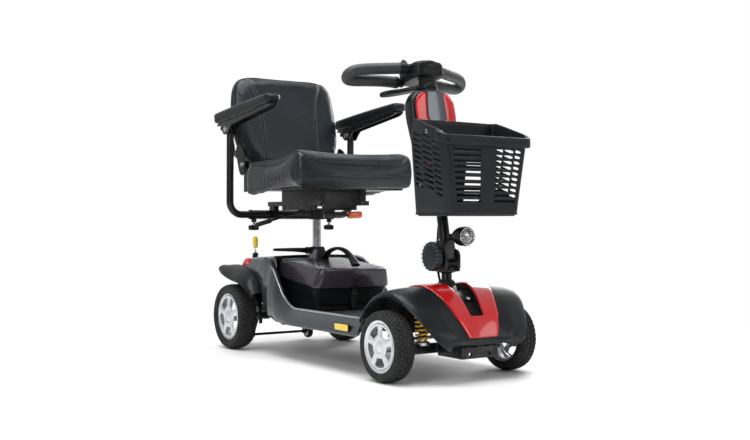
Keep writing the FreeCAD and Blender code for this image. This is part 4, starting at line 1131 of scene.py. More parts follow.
tub_rings = [box_ring(112, 112, 330, 4, 18, 152, 152), box_ring(113, 110, 331, 4, 18, 166, 166),
             box_ring(124, 97, 344, 7, 22, 169, 169), box_ring(129, 93, 345, 8, 23, 172, 172),
             box_ring(131, 91.5, 345.5, 8, 23, 177, 178), box_ring(136, 88, 346, 9, 22, 200, 206),
             box_ring(140, 84, 347, 10, 21, 222, 250), box_ring(141.5, 82.5, 347.5, 10.6, 21, 226, 257),
             box_ring(136, 88, 343, 10, 18, 228, 258)]
tub = make("battery_tub_moulded", *box_of(tub_rings), TUB, "battery_pack", ("battery_tub",), sharp=30)
carve(tub, cuboid((-27, 27), (286, 370), (140, 345)))
finish_mesh(tub, 32)

grip_path = spline([(0, 264, 311), (0, 250, 326), (0, 225, 343), (0, 178, 353), (0, 130, 346), (0, 92, 326),
                    (0, 64, 300)], 40)


def handle_section(t):
    wide = 11.5 + 5 * (abs(t - 0.5) * 2) ** 3
    thick = 5.2 + 2.2 * (abs(t - 0.5) * 2) ** 4
    return [(wide * math.copysign(abs(math.cos(a)) ** 0.6, math.cos(a)),
             thick * math.copysign(abs(math.sin(a)) ** 0.8, math.sin(a)))
            for a in (2 * math.pi * k / 24 for k in range(24))]


make("battery_handle_grip", *sweep(grip_path, handle_section), BLACK, "battery_pack", ("battery_handle",),
     sharp=60)
boot_rings = []
for z, half, front, rear in ((308, 27, 250, 285.5), (314, 26, 258, 285.5), (324, 22, 268, 285.5),
                             (338, 17, 277, 287),
                             (350, 14.5, 283, 290), (356, 13.5, 286, 291.5)):
    boot_rings.append([(x, y, z) for x, y in rounded_outline(half, (rear - front) / 2,
                                                             min(half, (rear - front) / 2) * 0.5,
                                                            4, 0, (front + rear) / 2)])
make("post_boot", *grid(boot_rings, closed=True, cap=True), LID, "battery_pack", sharp=40)

port = [(-3, 13), (0.5, 13), (2.2, 12), (2.4, 10.6), (0.4, 9.6), (-4, 9.4), (-4, 0.01)]
make("charge_port_ring", *revolve([(-a, r) for a, r in port], (0, 56.4, 262), "Y", 40), BLACK, "battery_pack",
     ("charge_port",), sharp=40)
pins = [tube([(x, 61, z), (x, 56, z)], 1.5, 10) for x, z in ((0, 266), (-4, 259), (4, 259))]
make("charge_port_pins", *merged(*pins), CHROME, "battery_pack")
strap_path = spline([(0, 55.5, 246), (0, 58, 236), (0, 68, 226), (0, 73, 212), (0, 76, 190), (0, 79, 166)],
                    24)
strap = sweep(strap_path, lambda t: [(a, b) for a, b in rounded_outline(11 - 2 * t, 2.2, 1.6, 3)],
              up=(0, -1, 0))
make("latch_strap", *strap, CABLE, "battery_pack", sharp=50)
make("latch_buckle", *merged(cuboid((-13, 13), (69.5, 75.5), (203, 209)),
                             cuboid((-13, 13), (74, 79), (184, 189)),
                             cuboid((-13.6, -10.6), (70, 78.5), (184, 209)), cuboid((10.6, 13.6), (70, 78.5),
                                                                                    (184, 209))),
     BLACK, "battery_pack", bevel=1.4)


# ---------------------------------------------------------------- seat

def inflate(obj, cap, pinned, pressure=4.0, frames=20, calm=6):
    """Blows a closed form up like padded fabric, holding the pinned part still and capping the movement."""
    mesh_in = obj.modifiers.new("voxels", "REMESH")
    mesh_in.mode, mesh_in.voxel_size = "VOXEL", 0.0052
    apply_all(obj)
    rest = [v.co.copy() for v in obj.data.vertices]
    held = obj.vertex_groups.new(name="held")
    held.add([i for i, p in enumerate(rest) if pinned(p / MM)], 1.0, "REPLACE")
    cloth = obj.modifiers.new("cloth", "CLOTH")
    cloth.settings.quality = 5
    cloth.settings.mass = 0.3
    cloth.settings.use_pressure = True
    cloth.settings.uniform_pressure_force = pressure
    cloth.settings.effector_weights.gravity = 0.0
    cloth.settings.vertex_group_mass = "held"
    cloth.point_cache.frame_start, cloth.point_cache.frame_end = 1, frames
    for number in range(1, frames + 1):
        bpy.context.scene.frame_set(number)
    blown = obj.evaluated_get(bpy.context.evaluated_depsgraph_get()).data
    moved = [v.co.copy() for v in blown.vertices]
    obj.modifiers.clear()
    limit = cap * MM
    for vertex, start, end in zip(obj.data.vertices, rest, moved):
        step = end - start
        if step.length > limit:
            step = step.normalized() * limit
        vertex.co = start + step
    bpy.context.scene.frame_set(1)
    relax = obj.modifiers.new("relax", "SMOOTH")
    relax.factor, relax.iterations = 0.5, calm
    sub = obj.modifiers.new("fine", "SUBSURF")
    sub.levels = sub.render_levels = 1
    apply_all(obj)


def pull_in(obj, lines, depth, width):
    """Sinks the surface along seam lines, given as lists of points in millimetres."""
    points = [Vector(p) * MM for line in lines for p in line]
    tree = KDTree(len(points))
    for i, p in enumerate(points):
        tree.insert(p, i)
    tree.balance()
    normals = [v.normal.copy() for v in obj.data.vertices]
    for vertex, normal in zip(obj.data.vertices, normals):
        distance = tree.find(vertex.co)[2] / MM
        if distance < width * 3:
            vertex.co -= normal * depth * MM * math.exp(-(distance / width) ** 2)


def surface_of(obj):
    verts = [v.co.copy() for v in obj.data.vertices]
    return BVHTree.FromPolygons(verts, [tuple(p.vertices) for p in obj.data.polygons])


def laid_on(tree, points, lift=0.0):
    """The points moved to the nearest place on a surface, then out by lift."""
    out = []
    for p in points:
        place, normal, _, _ = tree.find_nearest(Vector(p) * MM)
        out.append((place + normal * lift * MM) / MM)
    return out


def cast_on(tree, points, direction, lift=0.0):
    """The points thrown along a direction onto a surface."""
    out = []
    aim = Vector(direction).normalized()
    for p in points:
        place, normal, _, _ = tree.ray_cast(Vector(p) * MM - aim * 0.2, aim)
        if place is None:
            place, normal, _, _ = tree.find_nearest(Vector(p) * MM)
        out.append((place + normal * lift * MM) / MM)
    return out


def stitches(line, tree, spacing=6.0, long=3.6, gauge=0.55):
    """Short raised threads along a line, lying on the surface."""
    pieces = []
    line = [Vector(p) for p in line]
    carried = 0.0
    for a, b in zip(line, line[1:]):
        length = (b - a).length
        if length < 1e-6:
            continue
        heading = (b - a) / length
        at = spacing - carried
        while at < length:
            centre = a + heading * at
            _, normal, _, _ = tree.find_nearest(centre * MM)
            lift = Vector(normal) * 0.25
            side = heading.cross(Vector(normal)).normalized()
            rows = []
            for t, size, rise in ((-0.5, 0.5, -0.3), (-0.3, 1, 0.15), (0.3, 1, 0.15), (0.5, 0.5, -0.3)):
                mid = centre + heading * long * t + lift + Vector(normal) * rise
                rows.append([mid + side * gauge * size * c + Vector(normal) * gauge * size * s
                             for c, s in ((1, 0), (0.5, 0.8), (-0.5, 0.8), (-1, 0), (0, -0.8))])
            pieces.append(grid(rows, closed=True, cap=True))
            at += spacing
        carried = (carried + length) % spacing
    return merged(*pieces) if pieces else ([], [])


def seat_profile(x):
    """Side outline of the seat cushion at x, in y and z: bolstered edges, dished middle."""
    u = min(1.0, abs(x) / 222)
    raise_side = 10 * u ** 2.5
    hang = 46 * max(0.0, (u - 0.9) / 0.1)
    return [(62, 550 + 3 * u), (50, 566), (44, 606), (46, 636), (56, 654 + raise_side * 0.7),
            (76, 659 + raise_side),
            (112, 657 + raise_side), (170, 647 + raise_side), (250, 639 + raise_side),
            (330, 635 + raise_side),
            (390, 633 + raise_side * 0.8), (416, 625 + raise_side * 0.5), (428, 606), (427, 582),
            (414, 566 - hang * 0.8),
            (380, 561 - hang), (300, 560 - hang * 0.9), (200, 560 - hang * 0.5), (110, 556)]


def seat_body():
    rows = []
    for x in (-222, -220, -214, -204, -186, -150, -100, -50, 0, 50, 100, 150, 186, 204, 214, 220, 222):
        ends = max(0.0, (abs(x) - 200) / 22)
        inset = 13 * (1 - math.sqrt(max(0.0, 1 - ends ** 2)))
        outline = spline(seat_profile_closed(x), 97)[:-1]
        centre = Vector((0, 240, 605))
        row = []
        for p in outline:
            flat = Vector((0, p.y, p.z)) - centre
            shrink = 1 - inset / max(40.0, abs(flat.z) * 2.2)
            row.append((x, centre.y + flat.y * (1 - inset / 200), centre.z + flat.z * shrink))
        rows.append(row)
    return grid(rows, closed=True, cap=True)


def seat_profile_closed(x):
    points = [(0, y, z) for y, z in seat_profile(x)]
    return points + [points[0]]


seat = make("seat_cushion_padded", *seat_body(), VINYL, "seat", ("seat_cushion",), sharp=80)
inflate(seat, 7, lambda p: p.z < 568 and abs(p.x) < 198, calm=14)
seat_tree = surface_of(seat)


def seat_edge(inset, count=160):
    """A rounded rectangle that follows the cushion's top edge."""
    outline = rounded_outline(222 - inset, 190 - inset, 46, 10, 0, 237)
    dense = []
    for (x0, y0), (x1, y1) in zip(outline, outline[1:] + outline[:1]):
        steps = max(1, int(math.hypot(x1 - x0, y1 - y0) / 8))
        dense += [(lerp(x0, x1, k / steps), lerp(y0, y1, k / steps), 700) for k in range(steps)]
    return dense


piping_line = cast_on(seat_tree, seat_edge(5), (0, 0, -1), 0.4)
pull_in(seat, [piping_line], 3.0, 4.5)
inner_line = cast_on(seat_tree, seat_edge(64), (0, 0, -1))
pull_in(seat, [inner_line], 2.6, 5.0)
finish_mesh(seat, 80)
seat_tree = surface_of(seat)
piping_line = [Vector(p) for p in laid_on(seat_tree, piping_line, 1.0)]
make("seat_piping", *sweep(piping_line, lambda t: ring(3.0, 12), loop=True), PIPING, "seat", sharp=80)
rows_of_thread = []
for inset in (60, 68):
    line = cast_on(seat_tree, seat_edge(inset), (0, 0, -1), 0.1)
    rows_of_thread.append(stitches(line + [line[0]], seat_tree))
lower = cast_on(seat_tree, [(x, 0, 596) for x in range(-200, 201, 8)], (0, 1, 0))
pull_in(seat, [lower], 1.6, 3.0)
make("seat_stitching", *merged(*rows_of_thread), THREAD, "seat", sharp=80)


def gather(side):
    """Elasticated pleats let into the side panel under the front corner."""
    rows = []
    for i in range(61):
        u = i / 60
        y = lerp(84, 300, u)
        high = 603 - 6 * math.sin(math.pi * u) - 16 * u
        low = 571 - 19 * u ** 1.4
        pleat = 2.6 * math.sin(u * math.pi * 17) * (0.35 + 0.65 * math.sin(math.pi * u))
        row = []
        for k in range(9):
            v = k / 8
            z = lerp(high, low, v)
            place, normal, _, _ = seat_tree.find_nearest(Vector((side * 226, y, z)) * MM)
            depth = 0.9 + max(0, pleat) * math.sin(math.pi * min(1, v * 1.2 + 0.1))
            row.append(tuple((place + normal * depth * MM) / MM))
        rows.append(row)
    return grid(rows)


make("seat_gathers", *merged(gather(-1), gather(1)), GATHER, "seat", sharp=80, solid=1.0, offset=0)
finish_mesh(seat, 80)

BACK = Matrix.Translation((0, 465, 640)) @ Matrix.Rotation(math.radians(-12), 4, "X")


def on_back(x, y, z):
    return tuple(BACK @ Vector((x, y, z)))


def back_outline(count=140):
    corners = [(0, -4), (90, -5), (146, 2), (178, 30), (200, 66), (212, 110), (215, 170), (213, 230),
               (206, 280),
               (192, 314), (166, 333), (120, 340), (60, 342)]
    points = [(x, 0, z) for x, z in corners] + [(0, 0, 342.5)] + [(-x, 0, z)
        for x, z in reversed(corners[1:])]
    closed = spline(points + [points[0]], count + 1)[:-1]
    return [(p.x, p.z) for p in closed]


def back_body():
    outline = back_outline()
    centre = (0, 170)
    rows = []
    for depth, scale in ((16, 0.0), (15.5, 0.35), (15, 0.7), (16, 0.88), (20, 0.955), (28, 0.985),
                         (38, 0.992),
                         (50, 0.985), (60, 0.955), (65, 0.88), (66, 0.6), (66, 0.0)):
        scale = max(scale, 0.002)
        rows.append([on_back(centre[0] + (x - centre[0]) * scale, depth, centre[1] + (z - centre[1]) * scale)
                     for x, z in outline])
    return grid(rows, closed=True, cap=True)


back = make("back_cushion_padded", *back_body(), VINYL, "backrest", ("back_cushion",), sharp=80)
inverse_back = BACK.inverted()
inflate(back, 6, lambda p: (inverse_back @ p).y > 60, 3.0, 14, 22)
back_tree = surface_of(back)
FORWARD = tuple((BACK.to_3x3() @ Vector((0, 1, 0))).normalized())


def back_seam(side, shift):
    line = spline([(side * (108 + shift), 0, -2), (side * (107 + shift), 0, 80),
                   (side * (109 + shift), 0, 170),
                   (side * (117 + shift), 0, 245), (side * (137 + shift), 0, 302),
                   (side * (160 + shift * 0.6), 0, 334)], 90)
    return [on_back(*p) for p in line]


seams = [cast_on(back_tree, back_seam(side, 0), FORWARD) for side in SIDES]
pull_in(back, seams, 3.2, 4.5)
edge_seam = laid_on(back_tree, [on_back(x * 0.99, 24, 170 + (z - 170) * 0.99) for x, z in back_outline(220)])
pull_in(back, [edge_seam], 2.4, 3.6)
rear_seam = laid_on(back_tree, [on_back(x * 0.985, 60, 170 + (z - 170) * 0.985)
    for x, z in back_outline(220)])
pull_in(back, [rear_seam], 1.8, 3.2)
finish_mesh(back, 80)
back_tree = surface_of(back)
cord = laid_on(back_tree, edge_seam, 0.9)
make("back_piping", *sweep([Vector(p) for p in cord], lambda t: ring(2.6, 10), up=FORWARD, loop=True), PIPING,
     "backrest", sharp=80)
rows_of_thread = []
for side in SIDES:
    for shift in (-5.5, 5.5):
        rows_of_thread.append(stitches(cast_on(back_tree, back_seam(side, shift), FORWARD, 0.1), back_tree))
make("back_stitching", *merged(*rows_of_thread), THREAD, "backrest", sharp=80)

# hinge covers at the foot of the back, and the rear panel with its bolts
covers = []
for side in SIDES:
    outline = spline([(0, 452, 610), (0, 446, 640), (0, 452, 668), (0, 470, 700), (0, 500, 712),
                      (0, 512, 690),
                      (0, 500, 650), (0, 486, 616), (0, 468, 604), (0, 452, 610)], 48)[:-1]
    covers.append(slab([(p.y, p.z) for p in outline], "X", min(side * 206.5, side * 211),
                       max(side * 206.5, side * 211)))
make("hinge_covers", *merged(*covers), BLACK, "backrest", bevel=1.2)
panel_rows = []
panel_outline = back_outline()
for depth, scale in ((70, 0.90), (76.5, 0.90), (78.5, 0.88), (79, 0.7), (80, 0.4), (80, 0.002)):
    panel_rows.append([on_back(x * scale, depth, 178 + (z - 170) * scale) for x, z in panel_outline])
make("back_panel", *grid(panel_rows, closed=True, cap=True), ARM, "backrest", ("back_frame",), sharp=50)
arm_plates = []
for side in SIDES:
    outline = [(-10, -11), (10, -11), (14, 10), (72, 52), (79, 66), (79, 108), (70, 108), (66, 72), (-10, 14)]
    verts, faces = slab(outline, "X", min(side * 198, side * 203), max(side * 198, side * 203))
    arm_plates.append(([on_back(*v) for v in verts], faces))
make("back_hinge_arms", *merged(*arm_plates), POWDER, "backrest", ("back_frame",), bevel=0.8)
bolts = []
for x, z in ((-150, 100), (150, 100), (-150, 250), (150, 250)):
    verts, faces = screw_head((x, 78.5, z), "Y", 6, 4)
    bolts.append(([on_back(*v) for v in verts], faces))
for side in SIDES:
    bolts.append(revolve([(side * 211, 9), (side * 215, 8.2), (side * 216.5, 5), (side * 216.5, 0.01)],
                         (0, 465, 640), "X", 6))
make("back_bolts", *merged(*bolts), STEEL, "backrest", sharp=30)


# ---------------------------------------------------------------- armrests

def arm_pad(side):
    """Moulded arm pad: domed top, undercut sides, rounded nose and a heel over its bracket."""
    rows = []
    steps = 46
    for i in range(steps + 1):
        u = i / steps
        y = lerp(157, 565, u)
        end = min(u * 408 / 26, (1 - u) * 408 / 20, 1.0)
        near = math.sqrt(max(0.0, 1 - (1 - end) ** 2))
        top = lerp(858, 822, u ** 1.05) + 2.5 * math.sin(math.pi * u)
        bottom = piecewise(y, ((157, 828), (200, 822), (330, 806), (420, 797), (470, 790), (565, 786)))
        middle = (top + bottom) / 2
        half_h = (top - bottom) / 2 * (0.45 + 0.55 * near)
        half_w = 27.6 * (0.62 + 0.38 * near) - 1.5 * math.sin(math.pi * u)
        if i in (0, steps):
            half_h, half_w = half_h * 0.5, half_w * 0.6
        row = []
        for k in range(28):
            a = 2 * math.pi * k / 28
            c, s = math.cos(a), math.sin(a)
            power = 0.5 if s > 0 else 0.42
            x = half_w * math.copysign(abs(c) ** 0.5, c) * (1.0 if s > 0 else 0.93)
            z = half_h * math.copysign(abs(s) ** power, s)
            row.append((side * (250 + x), y, middle + z))
        rows.append(row)
    return grid(rows, closed=True, cap=True)


for arm_side, hand in ((-1, "right"), (1, "left")):
    body = f"armrest_pad_{hand}"
    make(f"arm_pad_{hand}_moulded", *arm_pad(arm_side), ARM, body, (body,), sharp=50)
    tray_side = [(166, 822), (340, 801), (470, 786), (548, 782), (548, 777), (516, 776), (506, 752),
                 (494, 745),
                 (470, 745), (458, 760), (440, 776), (330, 792), (190, 812)]
    plates = []
    for offset in (-18, 13.5):
        plates.append(slab(tray_side, "X", arm_side * 248 + offset, arm_side * 248 + offset + 4.5))
    plates.append(slab([(170, 822), (340, 802), (470, 787), (545, 783), (545, 787), (470, 791), (340, 806),
                        (170, 826)],
                       "X", arm_side * 248 - 17, arm_side * 248 + 17))
    make(f"arm_bracket_{hand}", *merged(*plates), POWDER, body, (body,), bevel=0.7)
    pivot = [revolve([(arm_side * 18.2, 10), (arm_side * 22, 9.4), (arm_side * 23, 6), (arm_side * 23, 0.01)],
                     (arm_side * 248, 483, 762), "X", 6),
             revolve([(-arm_side * 18.2, 10), (-arm_side * 22, 9.4), (-arm_side * 23, 6),
                      (-arm_side * 23, 0.01)],
                     (arm_side * 248, 483, 762), "X", 24)]
    make(f"arm_pivot_bolt_{hand}", *merged(*pivot), STEEL, body, sharp=30)
    stop = merged(revolve([(0, 9), (-9, 10), (-14, 9), (-15, 6), (-15, 0.01)], (arm_side * 248, 540, 777),
                          "Z", 5),
                  revolve([(4, 3), (-1, 3)], (arm_side * 248, 540, 777), "Z", 12))
    make(f"arm_stop_knob_{hand}", *stop, BLACK, body, sharp=30, bevel=0.8)


# ---------------------------------------------------------------- front suspension

def coil(side):
    turns, steps = 7.2, 26
    path = []
    for n in range(int(turns * steps) + 1):
        share = n / (turns * steps)
        a = 2 * math.pi * turns * share
        path.append(Vector((side * 100 + 17.4 * math.cos(a), -433 + 17.4 * math.sin(a),
                            lerp(107, 194, share))))
    return tube(path, 3.4, 12)


springs = make("coil_springs", *merged(coil(-1), coil(1)), SPRING, None, ("front_springs",), sharp=60)
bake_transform(springs)
perch = [(-4, 4), (-4, 21.5), (0, 22.5), (4, 22.5), (6, 21), (6, 14), (9, 12.5), (9, 4)]
notched = [(9, 11.8), (9, 14.2), (14, 14.2), (14, 11.8)]
lower = [revolve(perch, (side * 100, -433, 99), "Z", 40) for side in SIDES]
lower += [revolve(notched + [notched[0]], (side * 100, -433, 99), "Z", 24) for side in SIDES]
make("spring_perches", *merged(*lower), STEEL, "front_axle", sharp=35)
upper = [revolve([(-z, r) for z, r in perch], (side * 100, -433, 202), "Z", 40) for side in SIDES]
make("spring_cups", *merged(*upper), POWDER, "chassis", sharp=35)
rods = [revolve([(112, 9.5), (146, 9.5), (148, 8)], (side * 100, -433, 0), "Z", 20) for side in SIDES]
make("damper_bodies", *merged(*rods), POWDER, "front_axle", sharp=35)
rods = [revolve([(150, 4.5), (196, 4.5)], (side * 100, -433, 0), "Z", 16) for side in SIDES]
make("damper_rods", *merged(*rods), CHROME, "chassis", sharp=35)


# ---------------------------------------------------------------- tiller

TILLER = Matrix.Translation((0, -418, 344)) @ Matrix.Rotation(math.radians(-10.5), 4, "X")


def on_tiller(data):
    verts, faces = data
    return [TILLER @ Vector(v) for v in verts], faces


COVER_HALF = ((126, 40), (134, 47), (200, 55), (262, 62), (330, 71), (400, 80.5), (430, 82), (455, 79),
              (472, 70),
              (484, 58), (489, 50))


def cover_section(half, depth=1.0):
    """The cover's outline: shallow dome in front, rounded shoulders, flat back."""
    points = []
    for k in range(15):
        u = -1 + 2 * k / 14
        points.append((u * (half - 6), -28.5 + 5 * u * u + 1.2 * abs(u) ** 8))
    shoulder = [(half - 1.8, -19), (half, -13), (half, 8), (half - 2.5, 17), (half - 8, 24), (half - 16, 27)]
    back = [(x * (half - 16), 27) for x in (0.6, 0.2, -0.2, -0.6)]
    points += shoulder + back + [(-x, y) for x, y in reversed(shoulder)]
    return [(x, y * depth) for x, y in points]


cover_rows = []
for z, share in ((126, 0.72), (127, 0.8), (130, 0.9), (136, 0.97), (150, 1), (200, 1), (262, 1), (300, 1),
                 (330, 1),
                 (365, 1), (400, 1), (420, 1), (440, 1), (455, 1), (466, 1), (475, 0.985), (481, 0.95),
                 (485, 0.9),
                 (488, 0.8)):
    cover_rows.append([(x, y, z) for x, y in cover_section(straight(z, COVER_HALF), share)])
make("tiller_cover_moulded", *on_tiller(grid(cover_rows, closed=True, cap=True)), FENDER, "tiller",
     ("tiller_cover",), sharp=45)


def front_face(x, z, lift):
    """A point on the front of the cover, raised by lift."""
    half = straight(z, COVER_HALF) - 6
    u = x / half
    return (x, -28.5 + 5 * u * u - lift, z)


BAND_HALF = ((262, 30), (300, 30), (396, 28), (404, 33.5), (440, 32), (486, 28))


def trim_panel(side):
    rows = []
    for k in range(35):
        z = lerp(262, 479, k / 34)
        inner = straight(z, BAND_HALF) + 1.6
        outer = straight(z, COVER_HALF) - 10.5
        if z > 452:
            outer -= 9 * ((z - 452) / 27) ** 2
        row = []
        for j in range(12):
            x = lerp(inner, outer, j / 11)
            dome = 1.3 * math.sin(math.pi * j / 11) ** 0.5
            x2, y, z2 = front_face(x, z, 1.6 + dome)
            row.append((side * x2, y, z2))
        rows.append(row)
    return grid(rows)


for trim_side, hand in ((-1, "right"), (1, "left")):
    make(f"tiller_panel_{hand}", *on_tiller(facing(trim_panel(trim_side), (0, 40, 400))), RED, "tiller",
         ("tiller_trim",), solid=3.2, sharp=40, bevel=0.9)
band_rows = []
for k in range(40):
    z = lerp(262, 486, k / 39)
    half = straight(z, BAND_HALF)
    band_rows.append([front_face(u * half, z, 2.4 + 1.4 * (1 - u * u)) for u in (-1, -0.8, -0.45, 0, 0.45,
                                                                                 0.8, 1)])
make("tiller_band", *on_tiller(facing(grid(band_rows), (0, 40, 400))), BAND, "tiller", ("tiller_trim",),
     solid=3.5,
     sharp=40, bevel=0.7)
neck = [(486, 27), (490, 27.5), (493, 25), (495.5, 25)]
make("tiller_neck", *on_tiller(revolve(neck, (0, 0, 0), "Z", 40)), CABLE, "tiller", sharp=35)
boot = [(509, 18), (509, 25), (512, 26), (515, 23.5), (518, 25.5), (521, 23), (524, 25), (528, 22.5),
        (533, 25)]
make("console_boot", *on_tiller(revolve(boot, (0, 0, 0), "Z", 40)), CABLE, "tiller", sharp=35)

cable_path = [TILLER @ Vector(p) for p in ((10, 22, 150), (10, 22, 128), (9, 27, 108), (7, 34, 84),
                                           (4, 38, 56),
                                           (0, 39, 24))]
cable_path += [Vector(p) for p in ((-4, -379, 330), (-6, -383, 306), (-6, -389, 286), (-5, -394, 268),
                                   (-4, -396, 252))]
cable = make("tiller_loom", *tube(spline(cable_path, 60), 3.6, 14), CABLE, None, ("tiller_cable",), sharp=60)
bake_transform(cable)
clips = [revolve([(-3, 3.4), (-3, 5.4), (3, 5.4), (3, 3.4)], cable_path[1], "Z", 20)]
make("loom_clip", *merged(*clips), BLACK, "tiller", sharp=40)

# handlebar: a foam-covered loop on each side
LOOP = ((-24, 10, 564), (-46, 16, 564.5), (-80, 29, 566), (-130, 51, 567.5), (-172, 70, 568), (-197, 84, 566),
        (-209, 97, 559), (-210, 107, 552), (-200, 113, 547), (-177, 106, 544), (-146, 95, 543),
        (-104, 82, 541),
        (-64, 77, 539), (-36, 73, 537))


def loop_bar(side, radius, first, last):
    path = [Vector((-side * x, y, z)) for x, y, z in LOOP]
    dense = spline(path, 120)[int(first * 119):int(last * 119) + 1]
    return tube(dense, radius, 22, up=(0, 1, 0.2))


for loop_side, hand in ((-1, "right"), (1, "left")):
    make(f"grip_foam_{hand}", *on_tiller(loop_bar(loop_side, 17, 0.13, 0.93)), GRIP, "tiller",
         ("handlebar_loop",),
         sharp=60)
    ends = merged(loop_bar(loop_side, 13.5, 0.0, 0.2), loop_bar(loop_side, 13.5, 0.88, 1.0),
                  loop_bar(loop_side, 18.2, 0.105, 0.145), loop_bar(loop_side, 18, 0.925, 0.955))
    make(f"grip_collars_{hand}", *on_tiller(ends), BLACK, "tiller", ("handlebar_loop",), sharp=50)


# ---------------------------------------------------------------- console

CONSOLE_OUTLINE = [(-52, -14), (-44, -27), (-26, -33.5), (26, -33.5), (44, -27), (52, -14), (53, 20),
                   (50, 54),
                   (36, 84), (16, 91.5), (-16, 91.5), (-36, 84), (-50, 54), (-53, 20)]
console_line = spline([(x, y, 0) for x, y in CONSOLE_OUTLINE + CONSOLE_OUTLINE[:1]], 113)[:-1]
console_rows = []
for z, inset in ((531, 13), (532, 7), (534.5, 3), (539, 1), (545, 0), (552, 0), (553.2, 1.1), (555, 1.1),
                 (556.2, 0),
                 (566, 0.4), (571, 1.8), (574.5, 4.4), (576.6, 8.6), (577.6, 15), (578.2, 26), (578.4, 40)):
    row = []
    for p in console_line:
        from_middle = Vector((p.x, p.y - 28, 0))
        share = 1 - inset / from_middle.length
        crown = 1.5 * max(0, 1 - abs(p.x) / 50) if z > 574 else 0
        row.append((from_middle.x * share, 28 + from_middle.y * share, z + crown))
    console_rows.append(row)
make("console_housing", *on_tiller(grid(console_rows, closed=True, cap=True)), BLACK, "tiller",
     ("console_case",),
     sharp=40)
visor = []
for k in range(25):
    a = math.radians(-152 + 124 * k / 24)
    x, y = 47 * math.cos(a), 10 + 43 * math.sin(a)
    visor.append([(x, y + 1, 553), (x * 1.03, y - 1.5, 556), (x * 1.035, y - 2.4, 566),
                  (x * 1.01, y - 1, 574),
                  (x * 0.95, y + 2, 577.6)])
make("console_brow", *on_tiller(facing(grid(visor), (0, 20, 560))), FENDER, "tiller",
     solid=2.2, offset=0, sharp=45,
     bevel=0.6)
panel = rounded_outline(34, 19, 8, 6, 0, 20)
window = rounded_outline(22, 7, 3, 5, 0, 12)
make("gauge_surround", *on_tiller(slab(panel, "Z", 578.6, 580.6)), INSET, "tiller", bevel=0.9)
make("gauge_window", *on_tiller(slab(window, "Z", 580.2, 581.6)), GLASS, "tiller", bevel=0.5)
bars = [cuboid((-18 + 7.4 * k, -12.4 + 7.4 * k), (9, 15), (579.4, 580.9)) for k in range(5)]
make("gauge_bars_green", *on_tiller(merged(*bars[2:])), LEDS_GREEN, "tiller", bevel=0.2)
make("gauge_bars_amber", *on_tiller(merged(*bars[:2])), LEDS_AMBER, "tiller", bevel=0.2)


def knurled(profile, centre, count, depth, steps=6):
    """A turned knob whose skirt is fluted; profile rows are (height, radius, flute share)."""
    rows = []
    for k in range(count * steps):
        a = 2 * math.pi * k / (count * steps)
        wave = 0.5 + 0.5 * math.cos(2 * math.pi * (k % steps) / steps)
        row = []
        for high, radius, share in profile:
            r = max(0.01, radius - depth * share * wave)
            row.append((centre[0] + r * math.cos(a), centre[1] + r * math.sin(a), centre[2] + high))
        rows.append(row)
    return grid(rows, around=True)


dial = [(0, 13, 0), (1, 13.6, 0.2), (2, 13.4, 1), (8, 12.4, 1), (10.4, 11.4, 0.4), (11.4, 9.6, 0),
        (11.0, 7.5, 0),
        (10.4, 0.01, 0)]
make("speed_dial_knob", *on_tiller(knurled(dial, (0, 62, 578.4), 18, 0.9)), BLACK, "speed_dial",
     ("speed_dial",),
     sharp=40)
make("speed_dial_pointer", *on_tiller(cuboid((-0.9, 0.9), (64, 71.6), (588.4, 589.8))),
     WHITE_MARK, "speed_dial",
     bevel=0.3)
ticks = []
for k in range(9):
    a = math.radians(-135 + 270 * k / 8 + 90)
    c, s = math.cos(a), math.sin(a)
    spot = [(16.5, -0.7), (19.5, -0.7), (19.5, 0.7), (16.5, 0.7)]
    ticks.append(slab([(r * c - w * s, 62 + r * s + w * c) for r, w in spot], "Z", 578.0, 579.0))
make("speed_dial_ticks", *on_tiller(merged(*ticks)), WHITE_MARK, "tiller")
barrel = [(0, 9.6), (1.6, 9.6), (2.6, 8.8), (2.8, 5.4), (1.4, 5.0), (1.4, 0.01)]
make("key_barrel", *on_tiller(revolve(barrel, (-30, 62, 577.4), "Z", 32)), CHROME, "tiller", sharp=35)
bow = spline([(-30, 0, 582), (-35, 0, 585), (-40.5, 0, 592), (-39.5, 0, 600), (-34, 0, 604.4),
              (-26, 0, 604.4),
              (-20.5, 0, 600), (-19.5, 0, 592), (-25, 0, 585), (-30, 0, 582)], 40)[:-1]
make("key_bow", *on_tiller(slab([(p.x, p.z) for p in bow], "Y", 60.4, 63.6)), BLACK, "ignition_key",
     ("ignition_key",),
     bevel=1.0)
make("key_blade", *on_tiller(cuboid((-32.6, -27.4), (61, 63), (574, 586))), STEEL, "ignition_key",
     ("ignition_key",),
     bevel=0.3)
hoop = [Vector((-30, 62 + 8 * math.cos(a),
                603 + 8 * math.sin(a))) for a in (2 * math.pi * k / 40 for k in range(40))]
make("key_hoop", *on_tiller(sweep(hoop, lambda t: ring(0.9, 8), up=(1, 0, 0), loop=True)),
     STEEL, "ignition_key",
     sharp=60)
horn = [(0, 6.8), (4.5, 6.8), (6.4, 6.2), (7.6, 4.6), (8.2, 2.4), (8.3, 0.01)]
make("horn_dome", *on_tiller(revolve(horn, (30, 62, 573.4), "Z", 32)), ORANGE, "horn_button",
     ("horn_button",), sharp=40)
bezel = [(0, 11), (1.6, 11), (2.6, 10), (2.4, 7.6), (0, 7.4)]
make("horn_bezel", *on_tiller(revolve(bezel, (30, 62, 577.4), "Z", 32)), BLACK, "tiller", sharp=35)

